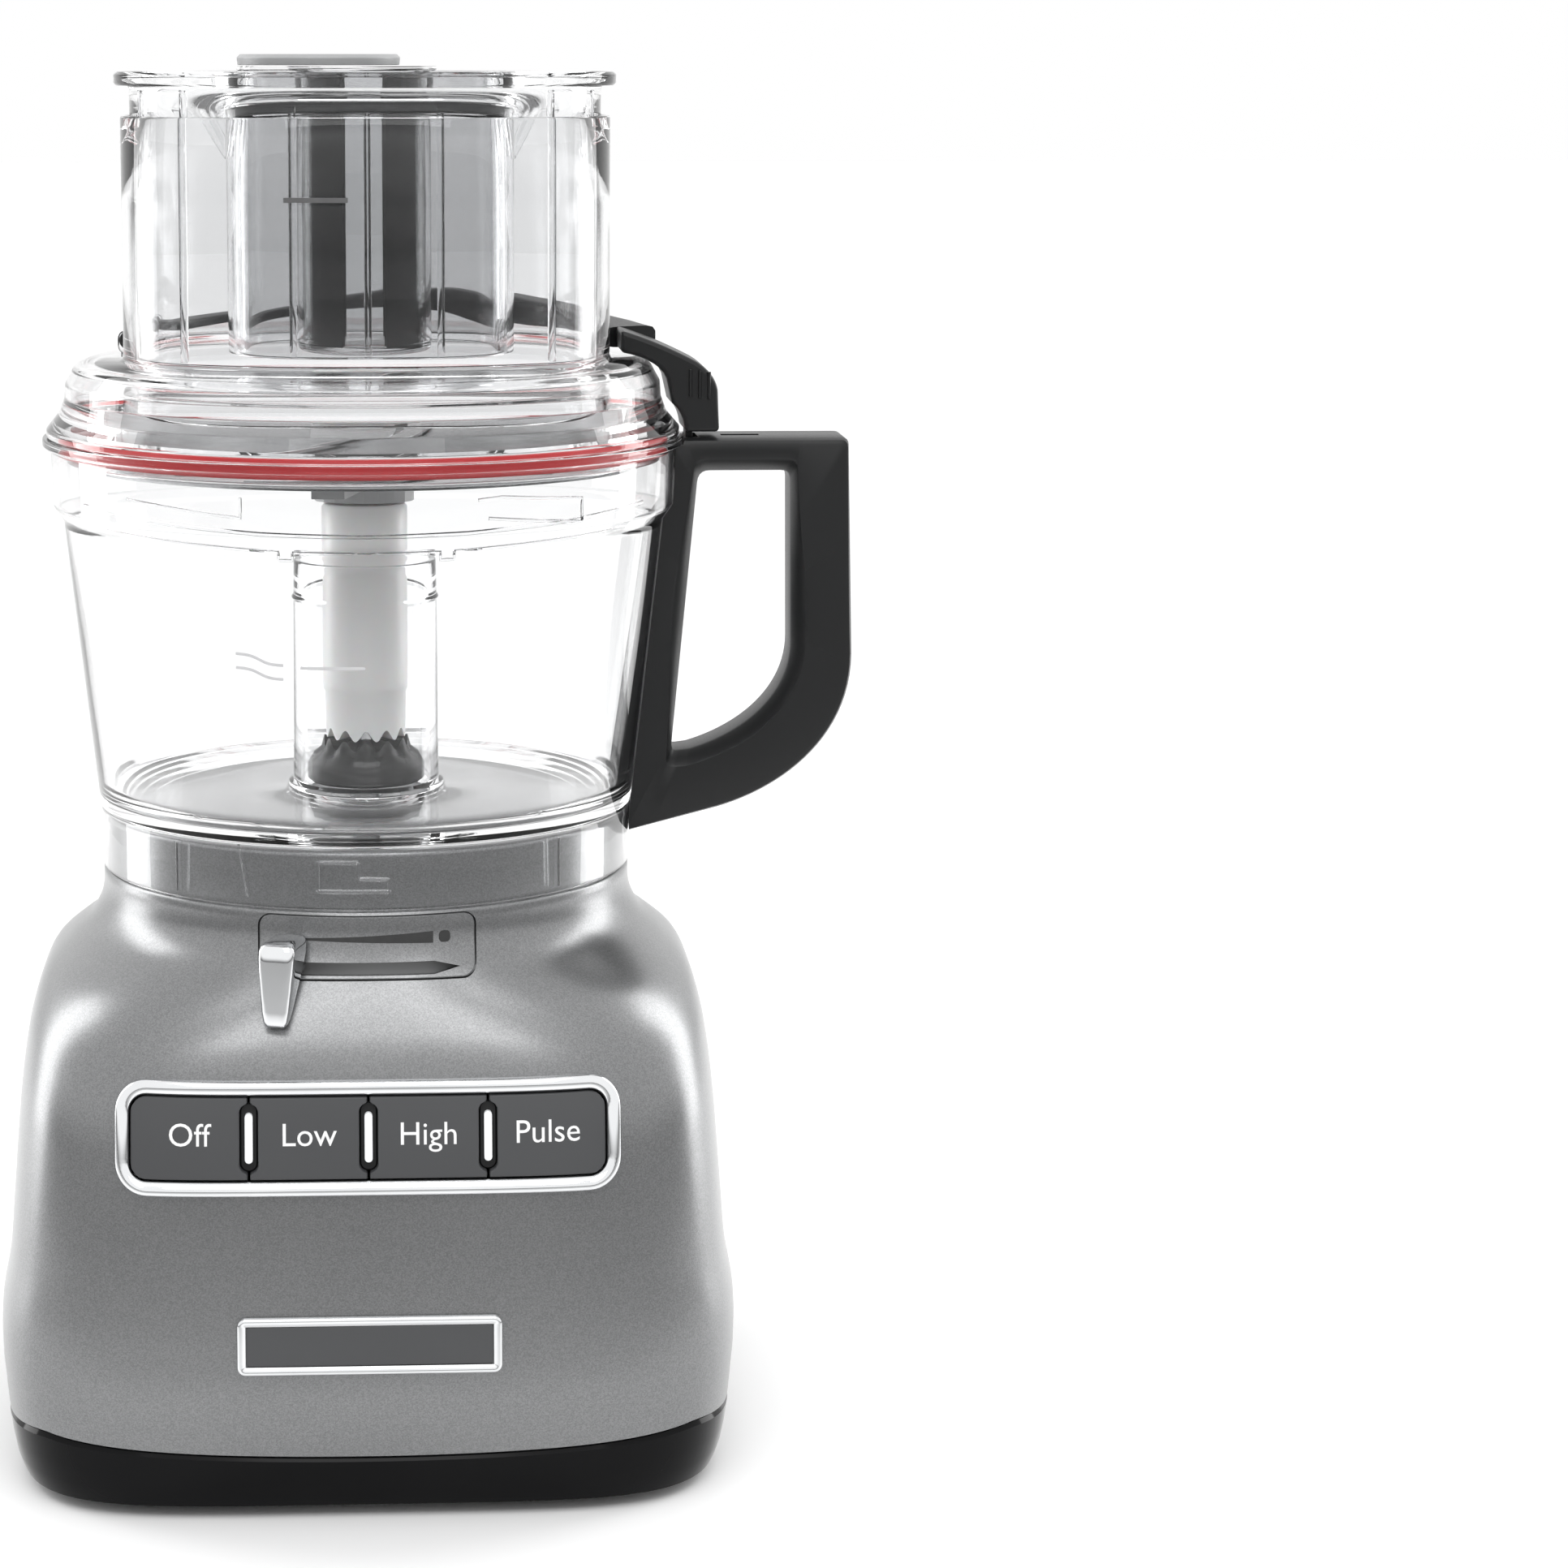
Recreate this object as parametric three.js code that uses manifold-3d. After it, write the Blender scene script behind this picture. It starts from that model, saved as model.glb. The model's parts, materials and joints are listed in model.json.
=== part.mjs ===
// A kitchen food processor: motor base, clear bowl with a handle, lid with a wide feed tube,
// three nested pushers, a lid latch and an adjustable slicing disc.
// Millimetres, +Z up, front towards -Y, the handle towards +X. Heights are above the table.
import * as THREE from "three";
import { mergeVertices } from "three/addons/utils/BufferGeometryUtils.js";
import Module from "manifold-3d";

const wasm = await Module();
wasm.setup();

// ---- driving dimensions ----
const BASE_WIDTH = 225.8;
const BASE_DEPTH = 222;
const BASE_HEIGHT = 178.5; // table to the ring that the bowl stands on
const PLINTH_TOP = 24.5;
const PLINTH_BOTTOM = 4;
const SHELL = 3; // wall of the base's mouldings
const BOWL_FOOT_R = 82.7; // outside of the bowl's skirt, and of the base's neck
const BOWL_RIM_R = 99.7;
const BOWL_HEIGHT = 134; // skirt to rim
const BOWL_WALL = 2.2;
const FLOOR_RISE = 22; // bowl floor above the bottom of the skirt
const CHIMNEY_R = 22.3; // outside of the clear tube in the middle of the bowl
const CHIMNEY_HEIGHT = 75;
const LID_RISE = 25; // bowl rim to the flat top of the lid
const TUBE_HEIGHT = 74; // feed tube above the lid's flat top
const TUBE_HALF_X = 74.3;
const TUBE_HALF_Y = 56;
const TUBE_SET_FORWARD = 18; // feed tube's centre in front of the bowl's axis
const HANDLE_OUT = 52.6; // bowl rim to the handle's outer face
const HANDLE_WIDTH = 27;
const PANEL_WIDTH = 149; // chrome frame round the four buttons
const PANEL_HEIGHT = 33;
const SPINDLE_R = 5;
const PULLEY_R = 46;
const MOTOR_SET_BACK = 62; // motor shaft behind the spindle
const GAP = 0.3; // clearance between pieces that touch
const LARGE = 36; // facets round the bowl, the lid and the base
const MEDIUM = 20;
const SMALL = 12;

// ---- heights worked out from them ----
const BOWL_BOTTOM = BASE_HEIGHT + GAP;
const FLOOR_TOP = BOWL_BOTTOM + FLOOR_RISE;
const FLOOR_BOTTOM = FLOOR_TOP - 2.8;
const RIM_TOP = BOWL_BOTTOM + BOWL_HEIGHT;
const LID_TOP = RIM_TOP + LID_RISE;
const TUBE_TOP = LID_TOP + TUBE_HEIGHT;
const PUSHER_FLOOR = LID_TOP + GAP;
const PUSHER_TOP = TUBE_TOP + 13; // top face of the large pusher's flange
const HALF_WIDTH = BASE_WIDTH / 2;
const HALF_DEPTH = BASE_DEPTH / 2;
const DECK = BASE_HEIGHT + 18; // raised disc of the base inside the bowl's skirt
const HANDLE_REACH = BOWL_RIM_R + HANDLE_OUT;
const PANEL_MIDDLE = BASE_HEIGHT * 0.647; // height of the middle of the buttons
const DISC_R = BOWL_RIM_R - 12.7;

// ---- colours ----
const SILVER = [0x8e9092, 0.38, 0.6];
const BLACK = [0x0c0c0d, 0.15, 0];
const CHROME = [0xd8dadc, 0.08, 1];
const CHARCOAL = [0x2b2c2e, 0.5, 0];
const BUTTON_GREY = [0x3f4144, 0.45, 0];
const LIGHT_WHITE = [0xf4f6f7, 0.3, 0];
const CLEAR = [0xe9eef0, 0.05, 0];
const SMOKED = [0x26282a, 0.2, 0];
const RED = [0xb4121a, 0.35, 0];
const WHITE = [0xeeeeec, 0.4, 0];
const GREY = [0x7c7f82, 0.45, 0];
const STEEL = [0xb9bcbf, 0.3, 1];
const COPPER = [0xa8703c, 0.4, 1];
const RUBBER = [0x1b1b1c, 0.9, 0];
const BOARD = [0x1f5a3a, 0.6, 0];

const group = new THREE.Group();

// ---- solids ----

// A closed geometry as a manifold solid, with its faces pointing out.
function solid(geometry) {
  const bare = geometry.clone();
  bare.deleteAttribute("normal");
  bare.deleteAttribute("uv");
  const merged = mergeVertices(bare, 1e-4);
  const faces = [];
  for (let i = 0; i < merged.index.count; i += 3) {
    const [a, b, c] = merged.index.array.slice(i, i + 3);
    if (a !== b && b !== c && c !== a) faces.push([a, b, c]);
  }
  const vertProperties = new Float32Array(merged.getAttribute("position").array);
  const build = (corners) =>
    new wasm.Manifold(new wasm.Mesh({ numProp: 3, vertProperties, triVerts: new Uint32Array(corners.flat()) }));
  const body = build(faces);
  return body.volume() > 0 ? body : build(faces.map(([a, b, c]) => [a, c, b]));
}

// A named mesh in the group, from a manifold solid.
function addNode(name, body, [color, roughness, metalness]) {
  const { vertProperties, triVerts } = body.getMesh();
  const geometry = new THREE.BufferGeometry();
  geometry.setAttribute("position", new THREE.BufferAttribute(new Float32Array(vertProperties), 3));
  geometry.setIndex(new THREE.BufferAttribute(new Uint32Array(triVerts), 1));
  geometry.computeVertexNormals();
  const mesh = new THREE.Mesh(geometry, new THREE.MeshStandardMaterial({ color, roughness, metalness }));
  mesh.name = name;
  group.add(mesh);
}

// A profile of [radius, height] points turned about a vertical axis at x, y.
function turned(points, segments = LARGE, x = 0, y = 0) {
  const profile = points.map(([r, z]) => new THREE.Vector2(r, z));
  if (points[0][0] > 0) profile.push(profile[0].clone());
  const geometry = new THREE.LatheGeometry(profile, segments);
  return solid(geometry.rotateX(Math.PI / 2).translate(x, y, 0));
}

// A plain ring or, with no inner radius, a plain disc.
function ring(inner, outer, bottom, top, segments = LARGE, x = 0, y = 0) {
  return turned([[inner, bottom], [outer, bottom], [outer, top], [inner, top]], segments, x, y);
}

// An outline with holes as a shape. The outline runs anticlockwise, whichever way it was drawn.
function shapeOf(outline, holes) {
  const shape = new THREE.Shape(THREE.ShapeUtils.isClockWise(outline) ? [...outline].reverse() : outline);
  shape.holes = holes.map((hole) => new THREE.Path(hole));
  return shape;
}

// A plan outline, with holes, raised from one height to another.
function upright(outline, bottom, top, holes = []) {
  const options = { depth: top - bottom, bevelEnabled: false };
  return solid(new THREE.ExtrudeGeometry(shapeOf(outline, holes), options).translate(0, 0, bottom));
}

// An outline in the x-z plane given thickness from front to back.
function acrossY(outline, front, back, holes = []) {
  const options = { depth: back - front, bevelEnabled: false };
  const geometry = new THREE.ExtrudeGeometry(shapeOf(outline, holes), options);
  return solid(geometry.rotateX(Math.PI / 2).translate(0, back, 0));
}

function box(x0, x1, y0, y1, z0, z1) {
  const geometry = new THREE.BoxGeometry(x1 - x0, y1 - y0, z1 - z0);
  return solid(geometry.translate((x0 + x1) / 2, (y0 + y1) / 2, (z0 + z1) / 2));
}

// Rings with the same number of points, joined into one skin with fan-shaped ends.
function lofted(rings) {
  const count = rings[0].length;
  const points = rings.flat();
  const faces = [];
  for (let level = 0; level + 1 < rings.length; level++) {
    for (let i = 0; i < count; i++) {
      const a = level * count + i;
      const b = level * count + ((i + 1) % count);
      faces.push(a, b, b + count, a, b + count, a + count);
    }
  }
  for (const [level, flip] of [[0, true], [rings.length - 1, false]]) {
    const middle = new THREE.Vector3();
    rings[level].forEach((point) => middle.addScaledVector(point, 1 / count));
    const hub = points.push(middle) - 1;
    for (let i = 0; i < count; i++) {
      const a = level * count + i;
      const b = level * count + ((i + 1) % count);
      faces.push(...(flip ? [hub, b, a] : [hub, a, b]));
    }
  }
  const geometry = new THREE.BufferGeometry().setFromPoints(points);
  geometry.setIndex(faces);
  return solid(geometry);
}

// ---- outlines ----

// A rounded rectangle or oval: squareness 2 is an ellipse, and larger values have fuller corners.
function oval(halfX, halfY, squareness, count = LARGE, x = 0, y = 0) {
  const outline = [];
  for (let i = 0; i < count; i++) {
    const turn = (2 * Math.PI * i) / count;
    const c = Math.cos(turn);
    const s = Math.sin(turn);
    const px = Math.sign(c) * halfX * Math.abs(c) ** (2 / squareness);
    const py = Math.sign(s) * halfY * Math.abs(s) ** (2 / squareness);
    outline.push(new THREE.Vector2(x + px, y + py));
  }
  return outline;
}

// A rectangle with round corners, centred at x, y.
function rounded(width, height, radius, x = 0, y = 0, steps = 4) {
  const outline = [];
  const corners = [[1, 1, 0], [-1, 1, 0.5], [-1, -1, 1], [1, -1, 1.5]];
  for (const [sx, sy, start] of corners) {
    for (let i = 0; i <= steps; i++) {
      const turn = Math.PI * (start + (0.5 * i) / steps);
      const px = x + sx * (width / 2 - radius) + radius * Math.cos(turn);
      const py = y + sy * (height / 2 - radius) + radius * Math.sin(turn);
      outline.push(new THREE.Vector2(px, py));
    }
  }
  return outline;
}

function circle(radius, x = 0, y = 0, count = MEDIUM) {
  return oval(radius, radius, 2, count, x, y);
}

// ---- shape of the base ----

// Heights as a share of the housing's, with the half width and half depth as a share of the largest,
// and the squareness of the plan: rounded square at the foot, a circle at the neck.
const PROFILE = [
  [0.0, 0.986, 0.99, 5],
  [0.11, 1.0, 1.0, 5],
  [0.19, 1.0, 0.993, 5],
  [0.29, 0.976, 0.982, 5],
  [0.515, 0.955, 0.95, 4.5],
  [0.67, 0.936, 0.91, 4],
  [0.745, 0.918, 0.875, 3.6],
  [0.81, 0.884, 0.832, 3],
  [0.864, 0.814, 0.793, 2.4],
  [0.891, 0.772, 0.775, 2.15],
  [0.93, 0.742, 0.755, 2],
  [0.964, 0.732, 0.745, 2],
  [1.0, 0.732, 0.745, 2],
];
const HOUSING_BOTTOM = PLINTH_TOP + GAP;
const HOUSING_RISE = BASE_HEIGHT - HOUSING_BOTTOM;

// Half width, half depth and squareness of the housing at a height. The neck is always the bowl's
// foot, so the shares are stretched between the widest part and the neck.
function housingAt(height) {
  const share = THREE.MathUtils.clamp((height - HOUSING_BOTTOM) / HOUSING_RISE, 0, 1);
  let upper = 1;
  while (PROFILE[upper][0] < share) upper++;
  const low = PROFILE[upper - 1];
  const high = PROFILE[upper];
  const t = (share - low[0]) / (high[0] - low[0]);
  const [wide, deep, squareness] = [1, 2, 3].map((i) => THREE.MathUtils.lerp(low[i], high[i], t));
  const neck = PROFILE[PROFILE.length - 1];
  const halfX = THREE.MathUtils.mapLinear(wide, neck[1], 1, BOWL_FOOT_R, HALF_WIDTH);
  const halfY = THREE.MathUtils.mapLinear(deep, neck[2], 1, BOWL_FOOT_R, HALF_DEPTH);
  return [halfX, halfY, squareness];
}

// The housing's outside, grown by a distance, between two heights.
function housingSkin(grow, bottom, top, count = LARGE) {
  const inside = PROFILE.map((row) => HOUSING_BOTTOM + row[0] * HOUSING_RISE);
  const heights = [bottom, ...inside.filter((z) => z > bottom + 0.5 && z < top - 0.5), top];
  const rings = heights.map((z) => {
    const [halfX, halfY, squareness] = housingAt(z);
    return oval(halfX + grow, halfY + grow, squareness, count).map((p) => new THREE.Vector3(p.x, p.y, z));
  });
  return lofted(rings);
}

// How far the front of the housing is from the axis at x and a height.
function frontAt(x, height) {
  const [halfX, halfY, squareness] = housingAt(height);
  return halfY * (1 - (Math.abs(x) / halfX) ** squareness) ** (1 / squareness);
}

// A piece that follows the housing's front: the part of the skin between two depths that an
// outline in the x-z plane covers.
function frontPiece(outline, under, over, holes = []) {
  const heights = outline.map((p) => p.y);
  const low = Math.min(...heights) - 2;
  const high = Math.min(Math.max(...heights) + 2, BASE_HEIGHT - 0.01);
  const skin = housingSkin(over, low, high).subtract(housingSkin(under, low - 1, high + 1));
  return skin.intersect(acrossY(outline, -2 * HALF_DEPTH, -BOWL_FOOT_R * 0.5, holes));
}

// ---- the base ----

const SLOT_HEIGHT = BASE_HEIGHT - 16.7; // middle of the slicing lever's slot
const LEVER_SWING = 15.5; // degrees each side of the front
const DIAL_WIDTH = 65;
const DIAL_TOP = BASE_HEIGHT - 1.2;
const DIAL_BOTTOM = BASE_HEIGHT - 19.9;
const BADGE_MIDDLE = BASE_HEIGHT * 0.306;
const BADGE_WIDTH = 78;
const BADGE_HEIGHT = 17;
const BUTTON_GAP = 0.35;
const BORDER = 4.3; // width of the chrome frame
const CORD_HEIGHT = 44;
const BEARING_R = 11;
const BEARING_LENGTH = 7;
const DECK_R = BOWL_FOOT_R - BOWL_WALL - 0.6; // the deck stands inside the bowl's skirt

function dialOutline(grow = 0) {
  const height = DIAL_TOP - DIAL_BOTTOM + 2 * grow;
  return rounded(DIAL_WIDTH + 2 * grow, height, 4, 0, (DIAL_TOP + DIAL_BOTTOM) / 2);
}

function slotOutline(grow = 0) {
  const reach = (frontAt(0, SLOT_HEIGHT) + 1) * Math.sin(THREE.MathUtils.degToRad(LEVER_SWING)) + 4.75;
  return rounded(2 * (reach + grow), 4 + 2 * grow, 1.2, 0, SLOT_HEIGHT);
}

function buildHousing() {
  let body = housingSkin(0, HOUSING_BOTTOM, BASE_HEIGHT);
  body = body.subtract(housingSkin(-SHELL, HOUSING_BOTTOM - 1, BASE_HEIGHT - SHELL, MEDIUM));
  body = body.subtract(ring(0, DECK_R - SHELL, BASE_HEIGHT - 6, BASE_HEIGHT + 1));
  const opening = rounded(PANEL_WIDTH - 3, PANEL_HEIGHT - 3, 8, 0, PANEL_MIDDLE);
  body = body.subtract(acrossY(opening, -2 * HALF_DEPTH, -HALF_DEPTH * 0.5));
  body = body.subtract(frontPiece(dialOutline(), -1.6, 4));
  body = body.subtract(acrossY(slotOutline(), -2 * HALF_DEPTH, -BOWL_FOOT_R * 0.6));
  const badge = rounded(BADGE_WIDTH - 4, BADGE_HEIGHT - 4, 1.5, 0, BADGE_MIDDLE);
  body = body.subtract(frontPiece(badge, -1.4, 4));
  const cordHole = acrossY(circle(7, 0, CORD_HEIGHT), HALF_DEPTH * 0.7, HALF_DEPTH * 1.4);
  return body.subtract(cordHole);
}

// The raised cap that closes the top of the housing and carries the upper bearing.
function buildDeck() {
  const bore = BEARING_R + GAP;
  const low = BASE_HEIGHT + GAP;
  const under = DECK - SHELL;
  const edge = DECK_R - 1.5;
  return turned([
    [bore, under], [DECK_R - SHELL, under], [DECK_R - SHELL, low], [DECK_R, low],
    [DECK_R, DECK - 1.5], [edge, DECK], [bore, DECK],
  ]);
}

function buildPlinth() {
  const levels = [[PLINTH_BOTTOM, 0.953], [PLINTH_BOTTOM + 4, 0.972], [PLINTH_TOP, 0.986]];
  const rings = levels.map(([z, share]) =>
    oval(HALF_WIDTH * share, HALF_DEPTH * share, 5).map((p) => new THREE.Vector3(p.x, p.y, z)),
  );
  const hollow = oval(HALF_WIDTH * 0.953 - SHELL, HALF_DEPTH * 0.953 - SHELL, 5);
  return lofted(rings).subtract(upright(hollow, PLINTH_BOTTOM - 1, PLINTH_TOP + 1));
}

const LEG_X = 60;
const LEG_FRONT = -46;
const LEG_BACK = 92;
const LEGS = [
  ["front_left", -LEG_X, LEG_FRONT],
  ["front_right", LEG_X, LEG_FRONT],
  ["rear_left", -LEG_X, LEG_BACK],
  ["rear_right", LEG_X, LEG_BACK],
];
const FOOT_X = HALF_WIDTH * 0.7;
const FOOT_Y = HALF_DEPTH * 0.7;
const FEET = [
  ["front_left", -FOOT_X, -FOOT_Y],
  ["front_right", FOOT_X, -FOOT_Y],
  ["rear_left", -FOOT_X, FOOT_Y],
  ["rear_right", FOOT_X, FOOT_Y],
];
const COVER_TOP = PLINTH_BOTTOM + 2.5;
const CHASSIS_BOTTOM = 56;
const CHASSIS_TOP = 60;
const SCREW_R = 1.6;

function buildCover() {
  const grown = SHELL + GAP;
  const outline = oval(HALF_WIDTH * 0.953 - grown, HALF_DEPTH * 0.953 - grown, 5);
  const holes = LEGS.map(([, x, y]) => circle(SCREW_R + GAP, x, y, SMALL));
  for (let i = -2; i <= 2; i++) holes.push(rounded(5, 36, 2.4, i * 12, -4, 1));
  return upright(outline, PLINTH_BOTTOM, COVER_TOP, holes);
}

function buildChassis() {
  const plan = rounded(2 * LEG_X + 14, LEG_BACK - LEG_FRONT + 14, 7, 0, (LEG_BACK + LEG_FRONT) / 2);
  const holes = [circle(BEARING_R + GAP), circle(7, 0, MOTOR_SET_BACK)];
  let body = upright(plan, CHASSIS_BOTTOM, CHASSIS_TOP, holes);
  for (const [, x, y] of LEGS) {
    body = body.add(ring(0, 4.5, COVER_TOP + GAP, CHASSIS_BOTTOM + 1, SMALL, x, y));
    body = body.subtract(ring(0, SCREW_R + GAP, COVER_TOP - 1, 16, SMALL, x, y));
  }
  return body;
}

function buildGland() {
  const inner = HALF_DEPTH - 9;
  const outer = HALF_DEPTH - 0.2;
  const sleeve = acrossY(circle(6.7, 0, CORD_HEIGHT), inner, outer + 3);
  const flange = acrossY(circle(9.5, 0, CORD_HEIGHT), outer + 0.6, outer + 3);
  return sleeve.add(flange).subtract(acrossY(circle(3.6, 0, CORD_HEIGHT, SMALL), inner - 1, outer + 4));
}

function buildBase() {
  addNode("base_housing", buildHousing(), SILVER);
  addNode("base_deck", buildDeck(), SILVER);
  addNode("base_plinth", buildPlinth(), BLACK);
  addNode("bottom_cover", buildCover(), CHARCOAL);
  for (const [corner, x, y] of FEET) {
    const foot = [[0, 0], [8.5, 0], [10, 1.2], [10, PLINTH_BOTTOM - GAP], [0, PLINTH_BOTTOM - GAP]];
    addNode(`foot_${corner}`, turned(foot, MEDIUM, x, y), RUBBER);
  }
  const headTop = PLINTH_BOTTOM - GAP;
  for (const [corner, x, y] of LEGS) {
    const screw = [[0, 2.2], [2.6, 2.2], [3.2, 2.8], [3.2, headTop], [SCREW_R, headTop], [SCREW_R, 14], [0, 14]];
    addNode(`bottom_screw_${corner}`, turned(screw, SMALL, x, y), STEEL);
  }
  addNode("chassis_plate", buildChassis(), STEEL);
  addNode("cord_gland", buildGland(), RUBBER);
  const badge = rounded(BADGE_WIDTH, BADGE_HEIGHT, 2.5, 0, BADGE_MIDDLE);
  const window = rounded(BADGE_WIDTH - 5, BADGE_HEIGHT - 5, 1, 0, BADGE_MIDDLE);
  addNode("badge_frame", frontPiece(badge, 0.3, 1.9, [window]), CHROME);
  const plate = rounded(BADGE_WIDTH - 5.6, BADGE_HEIGHT - 5.6, 0.8, 0, BADGE_MIDDLE);
  addNode("badge_plate", frontPiece(plate, -1.1, 1.2), BUTTON_GREY);
  addNode("thickness_dial", frontPiece(dialOutline(-GAP), -1.3, -0.2, [slotOutline(-0.2)]), SILVER);
}

// ---- the control panel ----

const BUTTON_NAMES = ["off", "low", "high", "pulse"];
const LIGHT_HEIGHT = 16.5;
const KEYS_WIDTH = PANEL_WIDTH - 2 * BORDER;
const KEYS_HEIGHT = PANEL_HEIGHT - 2 * BORDER;
const KEY_PITCH = KEYS_WIDTH / BUTTON_NAMES.length;

function grooveOutline(x) {
  return rounded(5.4, LIGHT_HEIGHT + 3.4, 2.6, x, PANEL_MIDDLE);
}

function buildButton(index) {
  const left = -KEYS_WIDTH / 2 + index * KEY_PITCH;
  const last = BUTTON_NAMES.length - 1;
  const right = left + KEY_PITCH;
  const keys = rounded(KEYS_WIDTH - 2 * BUTTON_GAP, KEYS_HEIGHT - 2 * BUTTON_GAP, 5.2, 0, PANEL_MIDDLE);
  const front = -2 * HALF_DEPTH;
  const back = -HALF_DEPTH * 0.5;
  let body = frontPiece(keys, -6, 0.9);
  body = body.intersect(box(left + BUTTON_GAP, right - BUTTON_GAP, front, back, 0, BASE_HEIGHT));
  const grooves = [];
  if (index > 0) grooves.push(left);
  if (index < last) grooves.push(right);
  for (const x of grooves) body = body.subtract(acrossY(grooveOutline(x), front, back));
  return body;
}

function buildControls() {
  const frame = rounded(PANEL_WIDTH, PANEL_HEIGHT, 9.5, 0, PANEL_MIDDLE);
  const window = rounded(KEYS_WIDTH, KEYS_HEIGHT, 5.5, 0, PANEL_MIDDLE);
  addNode("control_bezel", frontPiece(frame, 0.3, 2.4, [window]), CHROME);
  BUTTON_NAMES.forEach((name, index) => addNode(`button_${name}`, buildButton(index), BUTTON_GREY));
  for (let i = 1; i < BUTTON_NAMES.length; i++) {
    const x = -KEYS_WIDTH / 2 + i * KEY_PITCH;
    const bar = rounded(3, LIGHT_HEIGHT, 1.45, x, PANEL_MIDDLE);
    addNode(`light_bar_${i}`, frontPiece(bar, -7, 0.5), LIGHT_WHITE);
  }
  const boardFront = -(frontAt(KEYS_WIDTH / 2, PANEL_MIDDLE) - 12);
  const half = KEYS_WIDTH / 2;
  const boardLow = PANEL_MIDDLE - 14;
  const boardHigh = PANEL_MIDDLE + 14;
  let board = box(-half, half, boardFront, boardFront + 1.6, boardLow, boardHigh);
  for (let i = 0; i < BUTTON_NAMES.length; i++) {
    const x = -half + (i + 0.5) * KEY_PITCH;
    board = board.add(box(x - 3, x + 3, boardFront - 3, boardFront + 0.5, PANEL_MIDDLE - 3, PANEL_MIDDLE + 3));
  }
  addNode("control_board", board, BOARD);
}

// ---- the drive ----

const MOTOR_HEIGHT = (BASE_HEIGHT - CHASSIS_TOP) * 0.485;
const PULLEY_BOTTOM = 41.5;
const PULLEY_TOP = 50.5;
const SMALL_PULLEY_R = 9;
const BELT = 2;
const COUPLING_BOTTOM = FLOOR_TOP + 1.6;
const COUPLING_TOP = COUPLING_BOTTOM + 14.6;
const SPINDLE_TOP = FLOOR_TOP + 62;

// A belt run round two wheels, as the outline of its outside or inside face.
function beltLoop(big, small) {
  const tilt = Math.asin((big - small) / MOTOR_SET_BACK);
  const outline = [];
  const steps = MEDIUM + 4;
  for (let i = 0; i <= steps; i++) {
    const turn = Math.PI - tilt + ((Math.PI + 2 * tilt) * i) / steps;
    outline.push(new THREE.Vector2(big * Math.cos(turn), big * Math.sin(turn)));
  }
  for (let i = 0; i <= SMALL; i++) {
    const turn = tilt + ((Math.PI - 2 * tilt) * i) / SMALL;
    outline.push(new THREE.Vector2(small * Math.cos(turn), MOTOR_SET_BACK + small * Math.sin(turn)));
  }
  return outline;
}

function buildMotor() {
  const y = MOTOR_SET_BACK;
  addNode("motor_stator", ring(21, 32, CHASSIS_TOP + GAP, CHASSIS_TOP + MOTOR_HEIGHT, MEDIUM, 0, y), COPPER);
  const low = CHASSIS_TOP + 6;
  const high = CHASSIS_TOP + MOTOR_HEIGHT - 6;
  const armature = [
    [0, 37], [4, 37], [4, low - 2], [20.4, low], [20.4, high], [4, high + 2], [4, high + 12], [0, high + 12],
  ];
  addNode("motor_armature", turned(armature, MEDIUM, 0, y), STEEL);
  addNode("motor_pulley", ring(4.3, SMALL_PULLEY_R, PULLEY_BOTTOM, PULLEY_TOP, MEDIUM, 0, y), STEEL);
  const outside = beltLoop(PULLEY_R + GAP + BELT, SMALL_PULLEY_R + GAP + BELT);
  const inside = beltLoop(PULLEY_R + GAP, SMALL_PULLEY_R + GAP);
  addNode("drive_belt", upright(outside, PULLEY_BOTTOM + 0.5, PULLEY_TOP - 0.5, [inside]), RUBBER);
  let board = box(-LEG_X, -LEG_X + 1.6, -38, 22, CHASSIS_TOP + GAP, high + 4);
  board = board.add(box(-LEG_X + 1, -LEG_X + 12, -30, -6, low + 8, high - 6));
  board = board.add(box(-LEG_X + 1, -LEG_X + 10, 0, 14, low + 4, high - 20));
  addNode("power_board", board, BOARD);
}

function buildDrive() {
  const bore = SPINDLE_R + GAP;
  const low = CHASSIS_TOP - BEARING_LENGTH + 0.3;
  addNode("lower_bearing", ring(bore, BEARING_R, low, CHASSIS_TOP, MEDIUM), STEEL);
  addNode("upper_bearing", ring(bore, BEARING_R, DECK - BEARING_LENGTH, DECK, MEDIUM), STEEL);
  const hub = low - GAP;
  const pulley = [
    [bore, PULLEY_BOTTOM], [PULLEY_R, PULLEY_BOTTOM], [PULLEY_R, PULLEY_TOP], [PULLEY_R - 6, PULLEY_TOP],
    [PULLEY_R - 6, PULLEY_TOP - 5], [12, PULLEY_TOP - 5], [12, hub], [bore, hub],
  ];
  addNode("drive_pulley", turned(pulley, LARGE), STEEL);
  const tip = SPINDLE_TOP;
  const shaft = [[0, 36], [SPINDLE_R, 36], [SPINDLE_R, tip - 3], [SPINDLE_R - 1.5, tip], [0, tip]];
  addNode("drive_spindle", turned(shaft, MEDIUM), STEEL);
  addNode("drive_coupling", buildCoupling(), BLACK);
  addNode("interlock_switch", box(52, 66, -9, 9, DECK - SHELL - 16, DECK - SHELL - GAP), CHARCOAL);
}

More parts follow.
